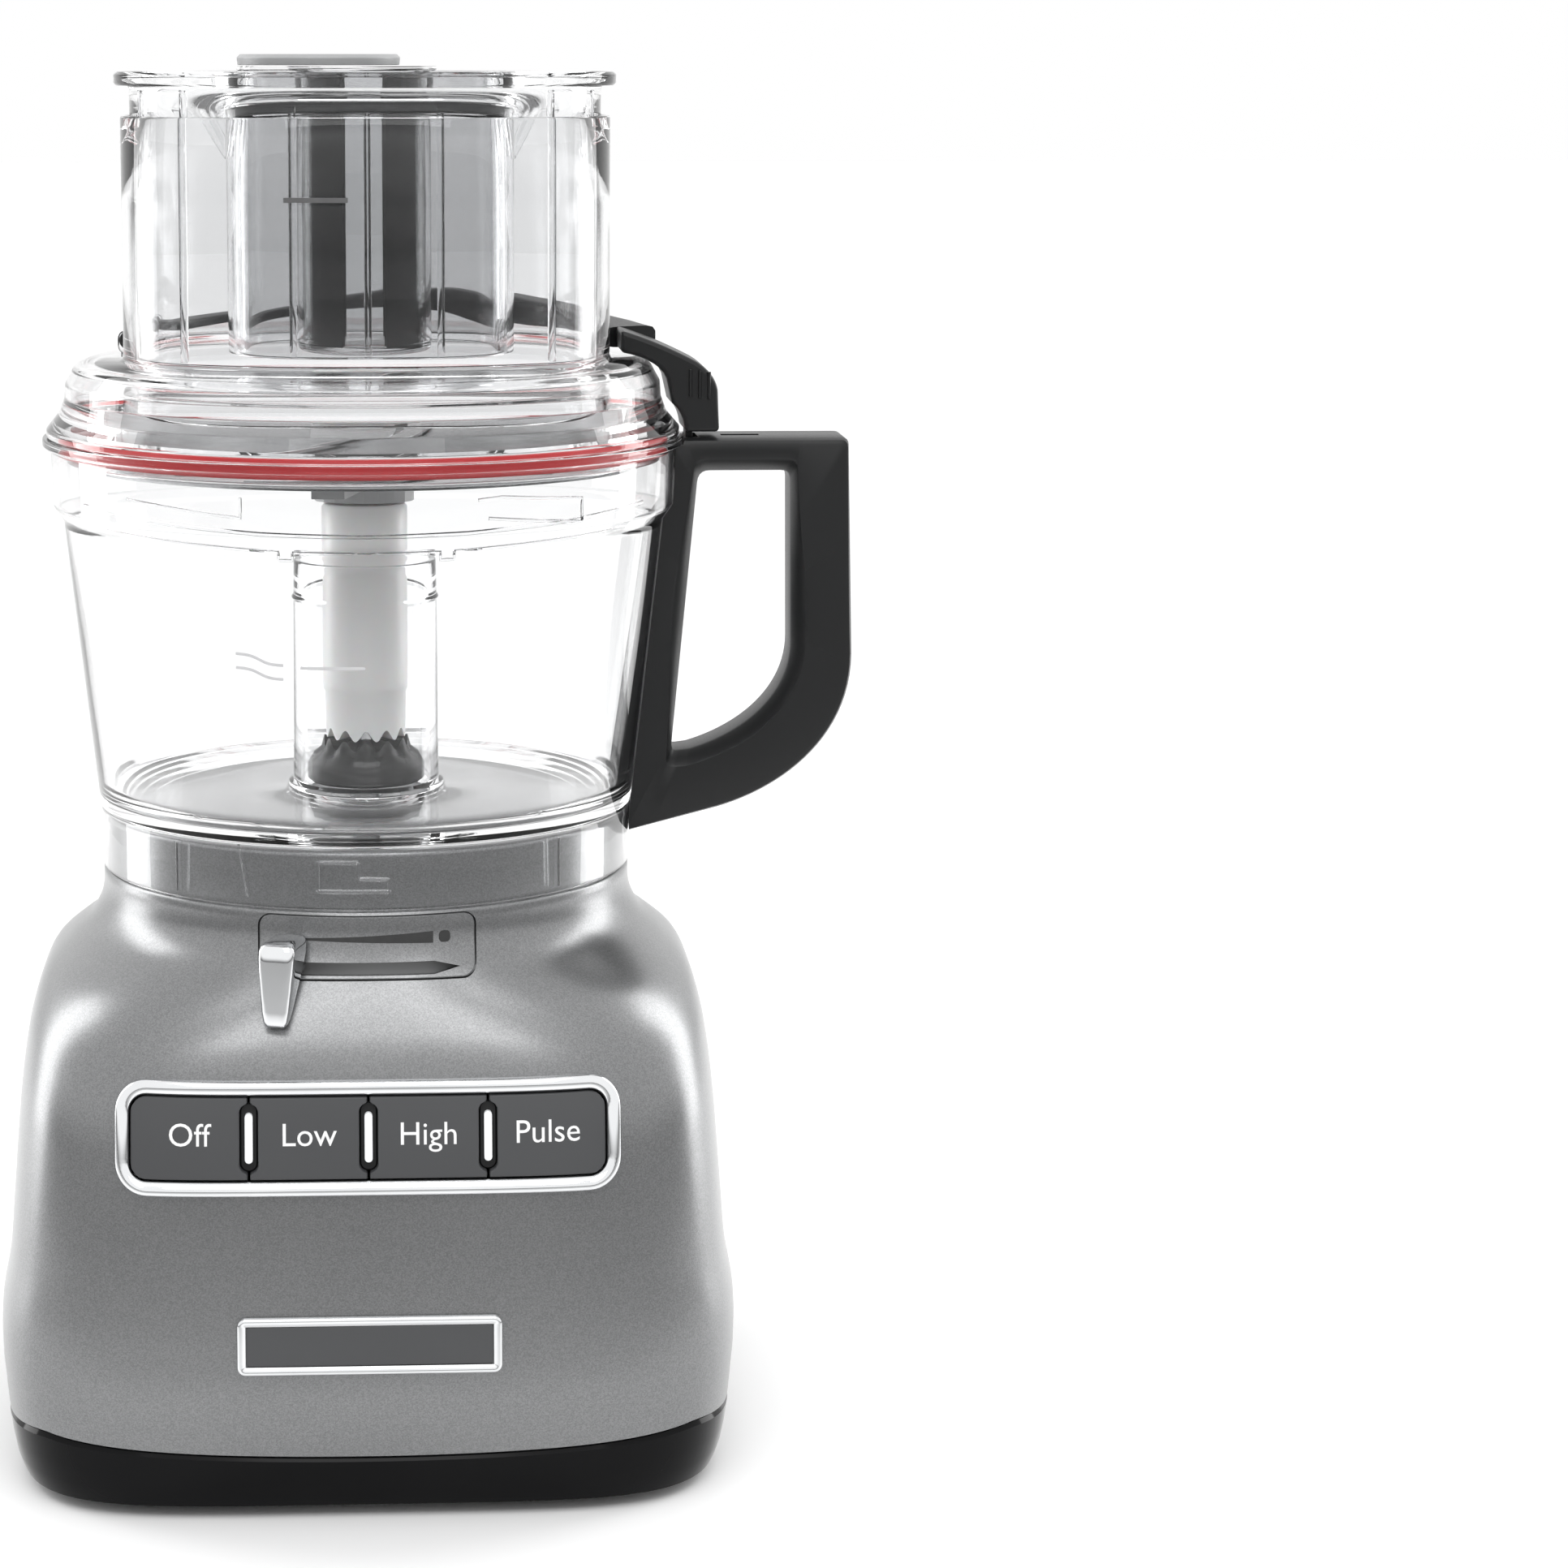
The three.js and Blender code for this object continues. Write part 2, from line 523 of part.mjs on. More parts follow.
// The black dog clutch on the spindle, with a ring of pointed teeth on top.
function buildCoupling() {
  const bore = SPINDLE_R + GAP;
  const top = COUPLING_TOP;
  const profile = [[bore, COUPLING_BOTTOM], [18.5, COUPLING_BOTTOM], [18.5, top - 5], [14.5, top], [bore, top]];
  let body = turned(profile, MEDIUM);
  const teeth = 9;
  for (let i = 0; i < teeth; i++) {
    const tooth = acrossY([[-2.4, top - 0.5], [2.4, top - 0.5], [0.5, top + 2.2], [-0.5, top + 2.2]].map(
      ([x, z]) => new THREE.Vector2(x, z)), -14, -10.5);
    body = body.add(tooth.rotate([0, 0, (360 * i) / teeth]));
  }
  return body;
}

// How far the housing reaches from the axis, at a height, anywhere that the lever passes.
function sweptRadius(height) {
  const x = BOWL_FOOT_R * Math.sin(THREE.MathUtils.degToRad(LEVER_SWING)) + 9;
  return Math.hypot(x, frontAt(x, height));
}

function buildAdjuster() {
  const sleeveTop = DECK - BEARING_LENGTH - GAP;
  addNode("adjuster_sleeve", ring(SPINDLE_R + 1, BEARING_R, BASE_HEIGHT - 28.5, sleeveTop, MEDIUM), GREY);
  const middle = SLOT_HEIGHT;
  const arm = box(-5, 5, -(BOWL_FOOT_R - 8), -16, middle - 1.4, middle + 1.4);
  const ringBody = ring(BEARING_R + GAP, 22, middle - 4, middle + 4, MEDIUM).add(arm);
  const swung = (body) => body.rotate([0, 0, -LEVER_SWING]);
  addNode("adjuster_ring", swung(ringBody), GREY);
  const tab = box(-4, 4, -(sweptRadius(SLOT_HEIGHT) + 4), -(BOWL_FOOT_R - 7.7), middle - 1.3, middle + 1.3);
  const low = SLOT_HEIGHT - 14.5;
  const rings = [];
  for (let i = 0; i <= 8; i++) {
    const share = i / 8;
    const z = low + 24.5 * share;
    const thick = 8.8 - 6.4 * share ** 2;
    const half = 4.2 + 1.8 * Math.sin(Math.PI * share);
    const outline = oval(half, thick / 2, 3, 16, 0, -sweptRadius(z) - 1.2 - thick / 2);
    rings.push(outline.map((p) => new THREE.Vector3(p.x, p.y, z)));
  }
  const handle = lofted(rings);
  addNode("slice_lever", swung(handle.add(tab)), CHROME);
}

// ---- the bowl ----

const COLLAR_DROP = 21; // rim to the step under the bowl's collar
const COLLAR_R = BOWL_RIM_R - 3.2;
const SHOULDER_R = BOWL_RIM_R - 6.3; // wall just under the collar

function bowlProfile() {
  const inner = CHIMNEY_R - 2;
  const step = RIM_TOP - COLLAR_DROP;
  const wallFoot = FLOOR_TOP - 6;
  return [
    [inner, FLOOR_BOTTOM], [inner, FLOOR_BOTTOM + CHIMNEY_HEIGHT], [CHIMNEY_R, FLOOR_BOTTOM + CHIMNEY_HEIGHT],
    [CHIMNEY_R + 0.6, FLOOR_TOP + 2], [CHIMNEY_R + 2.2, FLOOR_TOP + 1.4], [CHIMNEY_R + 2.2, FLOOR_TOP],
    [BOWL_FOOT_R - 5, FLOOR_TOP], [BOWL_FOOT_R - 1.6, FLOOR_TOP + 3], [SHOULDER_R - BOWL_WALL, step - 5],
    [COLLAR_R - 1.8, step - 0.5], [BOWL_RIM_R - 4.5, RIM_TOP], [BOWL_RIM_R, RIM_TOP],
    [BOWL_RIM_R, RIM_TOP - 2.4], [COLLAR_R + 0.7, RIM_TOP - 3], [COLLAR_R, step],
    [SHOULDER_R, step - 4.5], [BOWL_FOOT_R + 0.5, wallFoot], [BOWL_FOOT_R, BOWL_BOTTOM],
    [BOWL_FOOT_R - BOWL_WALL, BOWL_BOTTOM], [BOWL_FOOT_R - BOWL_WALL, FLOOR_BOTTOM],
  ];
}

const HANDLE_TOP = RIM_TOP - 0.9;
const HANDLE_BAR = 10.5; // depth of the handle's top bar
const HANDLE_GRIP = 19; // thickness of the grip, inside to outside
const POST = 11; // width of the handle's post beside the bowl
const LATCH_SLOT = [BOWL_RIM_R + 0.2, BOWL_RIM_R + 4.4];

// The handle's outline: a straight top bar, an upright grip, and a sweep back to the bowl's foot.
function handleOutline() {
  const foot = FLOOR_TOP - 13;
  const path = new THREE.Path();
  path.moveTo(BOWL_FOOT_R - 2, foot);
  path.lineTo(BOWL_RIM_R - 8, HANDLE_TOP);
  path.lineTo(HANDLE_REACH - 1.6, HANDLE_TOP);
  path.lineTo(HANDLE_REACH, HANDLE_TOP - 68);
  path.bezierCurveTo(HANDLE_REACH, foot + 28, HANDLE_REACH - 24, foot + 12, BOWL_FOOT_R + 25, foot + 7);
  return path.getPoints(6);
}

// The space for the fingers.
function fingerOutline() {
  const low = FLOOR_TOP + 12;
  const high = HANDLE_TOP - HANDLE_BAR;
  const outer = HANDLE_REACH - HANDLE_GRIP;
  const slope = (BOWL_RIM_R - BOWL_FOOT_R) / (RIM_TOP - FLOOR_TOP);
  const inner = (z) => BOWL_FOOT_R + POST + 1 + slope * (z - FLOOR_TOP) * 0.62;
  const path = new THREE.Path();
  path.moveTo(inner(low + 1), low + 1);
  path.lineTo(inner(high - 3), high - 3);
  path.quadraticCurveTo(inner(high), high, inner(high) + 3, high);
  path.lineTo(outer - 1.5, high);
  path.lineTo(outer, high - 54);
  path.bezierCurveTo(outer, low + 18, outer - 14, low + 6, inner(low) + 2, low);
  return path.getPoints(6);
}

function buildHandle() {
  const half = HANDLE_WIDTH / 2;
  let body = acrossY(handleOutline(), -half, half, [fingerOutline()]);
  const outside = bowlProfile().slice(10, 18).map(([r, z]) => [r + GAP, z]);
  const envelope = [[0, BOWL_BOTTOM - 5], [BOWL_FOOT_R + GAP, BOWL_BOTTOM - 5], ...outside.reverse()];
  envelope.push([0, RIM_TOP + 1]);
  body = body.subtract(turned(envelope.filter(([r]) => r > -1), 96));
  body = body.subtract(box(LATCH_SLOT[0] - 3, LATCH_SLOT[1], -7, 7, HANDLE_TOP - 11, HANDLE_TOP + 1));
  return body.subtract(box(BOWL_RIM_R + 12, BOWL_RIM_R + 24, -2.2, 2.2, HANDLE_TOP - 2, HANDLE_TOP + 1));
}

function buildBowl() {
  addNode("bowl", turned(bowlProfile()), CLEAR);
  addNode("bowl_handle", buildHandle(), CHARCOAL);
}

// ---- the lid ----

const SEAL_BOTTOM = RIM_TOP - 4.6;
const SEAL_TOP = RIM_TOP + 1.4;
const LIP_BOTTOM = RIM_TOP - 6.5;
const LIP_R = BOWL_RIM_R - 7.8;
const PIVOT = [-0.742 * BOWL_RIM_R, 0.25 * BOWL_RIM_R, LID_TOP + 2.9]; // latch hinge, left of the lid
const LUG = 3;

// The lid's outside, from the edge that lies on the bowl's rim up to its flat top.
function domeOutside() {
  const rim = BOWL_RIM_R - 1.3;
  const shoulder = BOWL_RIM_R - 7;
  return [
    [rim, RIM_TOP + GAP], [rim, RIM_TOP + 2.6], [rim - 1.2, RIM_TOP + 5],
    [rim - 4, RIM_TOP + 7.6], [shoulder, RIM_TOP + 12], [shoulder - 0.4, LID_TOP - 8],
    [shoulder - 2.6, LID_TOP - 4], [shoulder - 6.5, LID_TOP - 1.3], [shoulder - 12, LID_TOP], [0, LID_TOP],
  ];
}

function tubeOval(grow) {
  return oval(TUBE_HALF_X + grow, TUBE_HALF_Y + grow, 2.4, LARGE, 1.2, -TUBE_SET_FORWARD);
}

function buildLid() {
  const shoulder = BOWL_RIM_R - 7;
  let body = turned([
    [0, LID_TOP - 2.1], [shoulder - 12, LID_TOP - 2.1], [shoulder - 4.8, LID_TOP - 4.6],
    [shoulder - 2.6, LID_TOP - 8.5], [shoulder - 2.2, LID_TOP - 13], [LIP_R - 1.9, RIM_TOP + 4],
    [LIP_R - 1.9, LIP_BOTTOM], [LIP_R, LIP_BOTTOM], [LIP_R, SEAL_TOP + 0.5], [BOWL_RIM_R - 4.5, SEAL_TOP + 0.5],
    [BOWL_RIM_R - 4.5, RIM_TOP + GAP], ...domeOutside(),
  ]);
  body = body.subtract(upright(tubeOval(-5), LID_TOP - 6, LID_TOP + 1));
  const [x, y, z] = PIVOT;
  for (const side of [-1, 1]) {
    const near = y + side * 6.4 - LUG / 2;
    const lug = rounded(6.4, 7.2, 3, x, z - 0.4, 3);
    body = body.add(acrossY(lug, near, near + LUG));
  }
  return body.subtract(acrossY(circle(1.8, x, z, SMALL), y - 12, y + 12));
}

// The feed tube stands on the lid, and its foot follows the lid's rounded edge.
function buildTube() {
  const tube = upright(tubeOval(0), LID_TOP - 9, TUBE_TOP, [tubeOval(-BOWL_WALL)]);
  const seat = domeOutside().map(([radius, z]) => [radius && radius + GAP, z + GAP]);
  return tube.subtract(turned([[0, RIM_TOP], ...seat]));
}

const LATCH_TIP = BOWL_RIM_R + 10.6; // outer face of the latch's head
const HEAD_START = BOWL_RIM_R - 20.2; // where the arm runs into the head

// The arm that arches over the lid behind the feed tube, as stations along its length: degrees
// round the lid from the handle, share of the rim's radius, underside and top above the lid, half width.
// The last one lies inside the head.
function latchArm() {
  const stations = [
    [161, 0.764, 1, 4.8, 3.8], [155.8, 0.709, 1, 4.8, 3.8], [145, 0.698, 1.2, 5.2, 4], [130, 0.682, 2.6, 6.6, 4],
    [111, 0.658, 4.6, 9, 4.2], [88, 0.652, 6.5, 13, 4.8], [67.6, 0.682, 6.5, 16.4, 5.4],
    [51.8, 0.712, 2.5, 15.4, 6.4], [36.3, 0.746, 0.9, 12.2, 7.4], [21.4, 0.797, 0.9, 9.6, 8.4],
    [8.1, 0.851, 0.9, 7.4, 9.6],
  ];
  const places = stations.map(([degrees, share]) => {
    const turn = THREE.MathUtils.degToRad(degrees);
    return new THREE.Vector2(Math.cos(turn), Math.sin(turn)).multiplyScalar(share * BOWL_RIM_R);
  });
  places[places.length - 1].set(HEAD_START + 4.5, 12);
  const rings = stations.map(([, , low, high, half], i) => {
    const before = places[Math.max(i - 1, 0)];
    const after = places[Math.min(i + 1, places.length - 1)];
    const along = after.clone().sub(before).normalize();
    const section = rounded(2 * half, high - low, Math.min(1.4, (high - low) / 3), 0, LID_TOP + (low + high) / 2, 2);
    return section.map((p) => new THREE.Vector3(places[i].x + along.y * p.x, places[i].y - along.x * p.x, p.y));
  });
  return lofted(rings);
}

function latchHead() {
  const path = new THREE.Path();
  const foot = RIM_TOP + 1.1;
  path.moveTo(LATCH_TIP, foot);
  path.lineTo(LATCH_TIP - 0.5, foot + 13);
  path.quadraticCurveTo(LATCH_TIP - 1.5, foot + 18.5, LATCH_TIP - 7.5, foot + 22);
  path.quadraticCurveTo(LATCH_TIP - 20, foot + 28.5, HEAD_START, LID_TOP + 7.7);
  path.lineTo(HEAD_START, LID_TOP + 0.9);
  path.quadraticCurveTo(BOWL_RIM_R - 6.7, LID_TOP - 1.5, BOWL_RIM_R - 5.4, LID_TOP - 9);
  path.lineTo(BOWL_RIM_R - 4.2, foot + 9);
  path.quadraticCurveTo(BOWL_RIM_R - 0.4, foot + 6, BOWL_RIM_R - 0.1, foot);
  return path.getPoints(4);
}

function buildLatch() {
  const [x, y, z] = PIVOT;
  let body = latchArm().add(acrossY(latchHead(), -12, 13));
  body = body.add(acrossY(circle(2.9, x, z, SMALL), y - 4.4, y + 4.4));
  body = body.subtract(acrossY(circle(1.8, x, z, SMALL), y - 9, y + 9));
  const tongue = box(LATCH_SLOT[0] + 0.4, LATCH_SLOT[0] + 2.6, -5, 5, HANDLE_TOP - 3.2, RIM_TOP + 3);
  return body.add(tongue);
}

function buildLidAndLatch() {
  addNode("lid", buildLid(), CLEAR);
  addNode("feed_tube", buildTube(), CLEAR);
  addNode("lid_seal", ring(LIP_R + GAP, BOWL_RIM_R - 5, SEAL_BOTTOM, SEAL_TOP), RED);
  addNode("latch_arm", buildLatch(), CHARCOAL);
  const [x, y, z] = PIVOT;
  addNode("latch_pin", acrossY(circle(1.5, x, z, SMALL), y - 8, y + 8), STEEL);
}

// ---- the pushers ----

const SLEEVE = { halfX: TUBE_HALF_X * 0.587, halfY: TUBE_HALF_Y * 0.536, x: 2.5, squareness: 3 };
const SMALL_R = 20.5;
const SMALL_X = 0.5;
const SMALL_CAP_X = -13;
const SMALL_CAP_R = 24.8;

function sleeveOval(grow) {
  const { halfX, halfY, x, squareness } = SLEEVE;
  return oval(halfX + grow, halfY + grow, squareness, MEDIUM + 8, x, -TUBE_SET_FORWARD);
}

// The outside of the large pusher: an oval tube with a flange that has a hole for the sleeve.
function buildLargePusher() {
  const wall = -BOWL_WALL - 0.6;
  const body = upright(tubeOval(wall), PUSHER_FLOOR, PUSHER_TOP - 1, [tubeOval(wall - 2)]);
  return body.add(upright(tubeOval(1.8), PUSHER_TOP - 4, PUSHER_TOP, [sleeveOval(1.4)]));
}

// The sleeve in its middle, wider at the top, with a gusset on each side.
function buildSleeve() {
  const top = PUSHER_TOP - 4 - GAP;
  const step = PUSHER_TOP - 8;
  let body = upright(sleeveOval(0), PUSHER_FLOOR, step).add(upright(sleeveOval(3.4), step - 2, top));
  for (const side of [-1, 1]) {
    const near = SLEEVE.x + side * (SLEEVE.halfX - 0.5);
    const far = 1.2 + side * (TUBE_HALF_X - 15);
    const web = [[near, top - 20], [near, top - 16], [far - side * 4, top], [far, top]];
    const outline = web.map(([px, z]) => new THREE.Vector2(px, z));
    body = body.add(acrossY(outline, -TUBE_SET_FORWARD - 9, -TUBE_SET_FORWARD + 9));
  }
  body = body.subtract(upright(sleeveOval(-2), PUSHER_FLOOR - 1, PUSHER_TOP));
  return body.subtract(upright(sleeveOval(1.4), step, PUSHER_TOP));
}

function buildMediumPusher() {
  const floor = PUSHER_FLOOR;
  const step = PUSHER_TOP - 8 + GAP;
  const bore = circle(SMALL_R + 0.5, SMALL_X, -TUBE_SET_FORWARD);
  const boreWall = circle(SMALL_R + 2.3, SMALL_X, -TUBE_SET_FORWARD);
  let body = upright(sleeveOval(-2.6), floor, PUSHER_TOP - 1);
  body = body.subtract(upright(sleeveOval(-4.5), floor - 1, PUSHER_TOP - 3, [boreWall]));
  body = body.add(upright(sleeveOval(-1.2), step, PUSHER_TOP - 3, [sleeveOval(-3)]));
  body = body.add(upright(sleeveOval(1), PUSHER_TOP - 3.6, PUSHER_TOP, [sleeveOval(-3)]));
  body = body.subtract(upright(bore, floor - 1, PUSHER_TOP + 1));
  return body.add(upright(sleeveOval(-3.1), PUSHER_TOP - 1.6, PUSHER_TOP, [bore]));
}

function buildSmallPusher() {
  const y = -TUBE_SET_FORWARD;
  const left = SMALL_CAP_X - SMALL_CAP_R;
  const right = SMALL_X + SMALL_R + 1.8;
  const plate = oval((right - left) / 2, SMALL_CAP_R, 2.4, MEDIUM, (left + right) / 2, y);
  let body = upright(plate, PUSHER_TOP + GAP, PUSHER_TOP + 1.7);
  body = body.add(ring(0, SMALL_R, PUSHER_FLOOR, PUSHER_TOP + 1, MEDIUM, SMALL_X, y));
  return body.subtract(ring(0, SMALL_R - 2, PUSHER_FLOOR + 2.5, PUSHER_TOP + 3, MEDIUM, SMALL_X, y));
}

function buildPushers() {
  addNode("pusher_large", buildLargePusher(), CLEAR);
  addNode("pusher_large_sleeve", buildSleeve(), CLEAR);
  addNode("pusher_medium", buildMediumPusher(), CLEAR);
  const band = upright(sleeveOval(1), PUSHER_TOP - 7.5, PUSHER_TOP - 3.9, [sleeveOval(-0.9)]);
  addNode("pusher_medium_band", band, CHARCOAL);
  addNode("pusher_small", buildSmallPusher(), SMOKED);
  const low = PUSHER_TOP + 2;
  const cap = [[0, low], [SMALL_CAP_R, low], [SMALL_CAP_R, low + 2.2], [SMALL_CAP_R - 1, low + 3.3], [0, low + 3.3]];
  addNode("pusher_small_cap", turned(cap, MEDIUM, SMALL_CAP_X, -TUBE_SET_FORWARD), GREY);
}

// ---- the slicing disc ----

const DISC_BOTTOM = RIM_TOP - 8.4;
const DISC_TOP = DISC_BOTTOM + 1.4;
const STEM_R = 13.4;
const STEM_BORE = SPINDLE_R + 0.8;
const WINDOW_IN = 26; // inner end of the blade and of the slot under it
const DISC_FACETS = 44;

function buildStem() {
  const low = COUPLING_TOP + 2.6;
  const profile = [
    [STEM_BORE, low], [STEM_R - 0.9, low], [STEM_R - 0.9, low + 11], [STEM_R, low + 12], [STEM_R, DISC_BOTTOM - 14],
    [8, DISC_BOTTOM - 12], [8, DISC_BOTTOM - 2], [8, DISC_TOP + 4], [0, DISC_TOP + 4], [0, SPINDLE_TOP + 3], [STEM_BORE, SPINDLE_TOP + 2],
  ];
  return turned(profile, MEDIUM);
}

// The steel plate, with the slot that the slices fall through and two finger holes.
function buildPlate() {
  let body = ring(8.4, DISC_R, DISC_BOTTOM, DISC_TOP, DISC_FACETS);
  const rolled = turned([
    [DISC_R - 3, DISC_TOP - 0.5], [DISC_R, DISC_TOP - 0.5], [DISC_R, DISC_TOP + 1.2], [DISC_R - 3, DISC_TOP + 1.2],
  ], DISC_FACETS);
  body = body.add(rolled);
  body = body.subtract(upright(bladeOutline(0, 7), DISC_BOTTOM - 2, DISC_TOP + 2));
  for (const side of [-1, 1]) {
    body = body.subtract(ring(0, 9, DISC_BOTTOM - 1, DISC_TOP + 1, MEDIUM, side * 50, 0));
  }
  return body;
}

// A curved strip from the hub to the edge of the disc.
function bladeOutline(from, to) {
  const inside = [];
  const outside = [];
  const steps = 8;
  for (let i = 0; i <= steps; i++) {
    const reach = WINDOW_IN + ((DISC_R - 7 - WINDOW_IN) * i) / steps;
    const sweep = -1.2 - 0.9 * (i / steps) ** 1.3;
    const spine = new THREE.Vector2(reach * Math.cos(sweep), reach * Math.sin(sweep));
    const side = new THREE.Vector2(-Math.sin(sweep + 0.5), Math.cos(sweep + 0.5));
    inside.push(spine.clone().addScaledVector(side, from));
    outside.push(spine.clone().addScaledVector(side, to));
  }
  return [...inside, ...outside.reverse()];
}

function buildDisc() {
  const y = DISC_TOP;
  addNode("disc_stem", buildStem(), WHITE);
  addNode("disc_plate", buildPlate(), STEEL);
  addNode("disc_blade", upright(bladeOutline(5.2, 17), y + GAP, y + 1.5), STEEL);
  const hub = oval(17, 17, 2).map((p, i) => p.multiplyScalar(1 + 0.05 * Math.cos((i / LARGE) * 2 * Math.PI * 5)));
  addNode("disc_hub", upright(hub, y + GAP, y + 4.4, [circle(8.4)]), WHITE);
  let carrier = ring(8.4, 30, DISC_BOTTOM - 3.4, DISC_BOTTOM - GAP, MEDIUM);
  carrier = carrier.add(ring(8.4, 15.5, DISC_BOTTOM - 10.5, DISC_BOTTOM - 3, MEDIUM));
  for (const turn of [20, 140, 260]) {
    carrier = carrier.add(box(12, 62, -5, 5, DISC_BOTTOM - 4.6, DISC_BOTTOM - 0.6).rotate([0, 0, turn]));
  }
  addNode("disc_carrier", carrier, GREY);
}

buildBase();
buildControls();
buildMotor();
buildDrive();
buildAdjuster();
buildBowl();
buildLidAndLatch();
buildPushers();
buildDisc();

// The origin is the middle of the underside of the whole machine.
const bounds = new THREE.Box3().setFromObject(group);
group.position.set(-(bounds.min.x + bounds.max.x) / 2, -(bounds.min.y + bounds.max.y) / 2, -bounds.min.z);

export default group;
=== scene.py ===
import math

import bmesh
import bpy
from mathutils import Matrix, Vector
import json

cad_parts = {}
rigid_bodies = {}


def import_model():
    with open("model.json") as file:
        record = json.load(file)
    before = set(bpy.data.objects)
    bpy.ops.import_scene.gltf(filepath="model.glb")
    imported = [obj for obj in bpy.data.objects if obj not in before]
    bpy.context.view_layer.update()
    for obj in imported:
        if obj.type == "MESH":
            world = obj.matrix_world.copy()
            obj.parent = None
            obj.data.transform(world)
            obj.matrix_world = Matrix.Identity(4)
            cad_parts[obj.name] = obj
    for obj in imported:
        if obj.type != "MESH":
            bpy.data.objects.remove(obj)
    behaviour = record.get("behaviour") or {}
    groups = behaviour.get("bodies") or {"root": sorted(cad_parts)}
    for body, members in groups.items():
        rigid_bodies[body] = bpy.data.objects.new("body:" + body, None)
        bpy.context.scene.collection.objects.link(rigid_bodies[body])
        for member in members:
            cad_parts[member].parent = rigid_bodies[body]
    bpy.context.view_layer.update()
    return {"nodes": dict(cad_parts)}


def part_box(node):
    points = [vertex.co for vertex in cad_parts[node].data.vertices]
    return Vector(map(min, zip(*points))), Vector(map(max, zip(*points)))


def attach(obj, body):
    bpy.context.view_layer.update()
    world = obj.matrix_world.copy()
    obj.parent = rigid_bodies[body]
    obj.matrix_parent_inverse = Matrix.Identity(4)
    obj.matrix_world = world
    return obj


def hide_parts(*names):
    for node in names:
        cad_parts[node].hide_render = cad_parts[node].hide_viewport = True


for leftover in list(bpy.data.objects):
    bpy.data.objects.remove(leftover)
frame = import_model()
scene = bpy.context.scene

# ---- Motor base: housing ----
# One moulding in metallic silver-grey paint with a fine flake. It is a rounded square at the foot and
# narrows to the round neck that carries the bowl. Screws from below hold it to the plinth.

bowl_low, bowl_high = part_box("bowl")
AXIS = Vector(((bowl_low.x + bowl_high.x) / 2, (bowl_low.y + bowl_high.y) / 2, 0.0))


def reach(node):
    """A CAD node's lowest and highest corner in millimetres from the bowl's axis and the table."""
    low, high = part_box(node)
    return (low - AXIS) * 1000, (high - AXIS) * 1000


class Wire:
    """A shader socket that adds Math nodes when it is used in sums."""

    def __init__(self, tree, socket):
        self.tree = tree
        self.socket = socket

    def joined(self, operation, first, second):
        node = self.tree.nodes.new("ShaderNodeMath")
        node.operation = operation
        for place, value in zip(node.inputs, (first, second)):
            if isinstance(value, Wire):
                self.tree.links.new(value.socket, place)
            else:
                place.default_value = value
        return Wire(self.tree, node.outputs[0])

    def __add__(self, other):
        return self.joined("ADD", self, other)

    def __radd__(self, other):
        return self.joined("ADD", other, self)

    def __sub__(self, other):
        return self.joined("SUBTRACT", self, other)

    def __rsub__(self, other):
        return self.joined("SUBTRACT", other, self)

    def __mul__(self, other):
        return self.joined("MULTIPLY", self, other)

    def __rmul__(self, other):
        return self.joined("MULTIPLY", other, self)

    def output(self, name):
        return Wire(self.tree, self.socket.node.outputs[name])


class Finish:
    """A material whose nodes are added one by one, with one main shader."""

    def __init__(self, name, **constants):
        self.material = bpy.data.materials.new(name)
        self.material.use_nodes = True
        self.tree = self.material.node_tree
        self.tree.nodes.clear()
        self.end = self.tree.nodes.new("ShaderNodeOutputMaterial")
        self.shader = self.add("ShaderNodeBsdfPrincipled").socket.node
        self.tree.links.new(self.shader.outputs[0], self.end.inputs["Surface"])
        for socket, value in constants.items():
            self.feed(socket.replace("_", " "), value)
        self.place = self.add("ShaderNodeTexCoord").output("Object")

    def add(self, kind, settings=None, inputs=None):
        node = self.tree.nodes.new(kind)
        for key, value in (settings or {}).items():
            setattr(node, key, value)
        for key, value in (inputs or {}).items():
            if isinstance(value, Wire):
                self.tree.links.new(value.socket, node.inputs[key])
            else:
                node.inputs[key].default_value = value
        return Wire(self.tree, next(o for o in node.outputs if o.enabled))

    def feed(self, socket, value):
        if isinstance(value, Wire):
            self.tree.links.new(value.socket, self.shader.inputs[socket])
        else:
            self.shader.inputs[socket].default_value = value

    def noise(self, scale, detail=3.0):
        return self.add("ShaderNodeTexNoise", None,
                        {"Vector": self.place, "Scale": scale, "Detail": detail})

    def shade(self, factor, dark, light):
        """The two colours mixed by a factor."""
        settings = {"data_type": "RGBA"}
        return self.add("ShaderNodeMix", settings, {0: factor, 6: (*dark, 1), 7: (*light, 1)}).output(2)

    def colour(self, factor, dark, light, rough, spread=0.0):
        """A base colour between two shades, and a roughness that rises with the same factor."""
        self.feed("Base Color", self.shade(factor, dark, light))
        self.feed("Roughness", rough + factor * spread if spread else rough)

    def grain(self, height, strength, depth):
        bump = self.add("ShaderNodeBump", None,
                        {"Height": height, "Strength": strength, "Distance": depth})
        self.feed("Normal", bump)


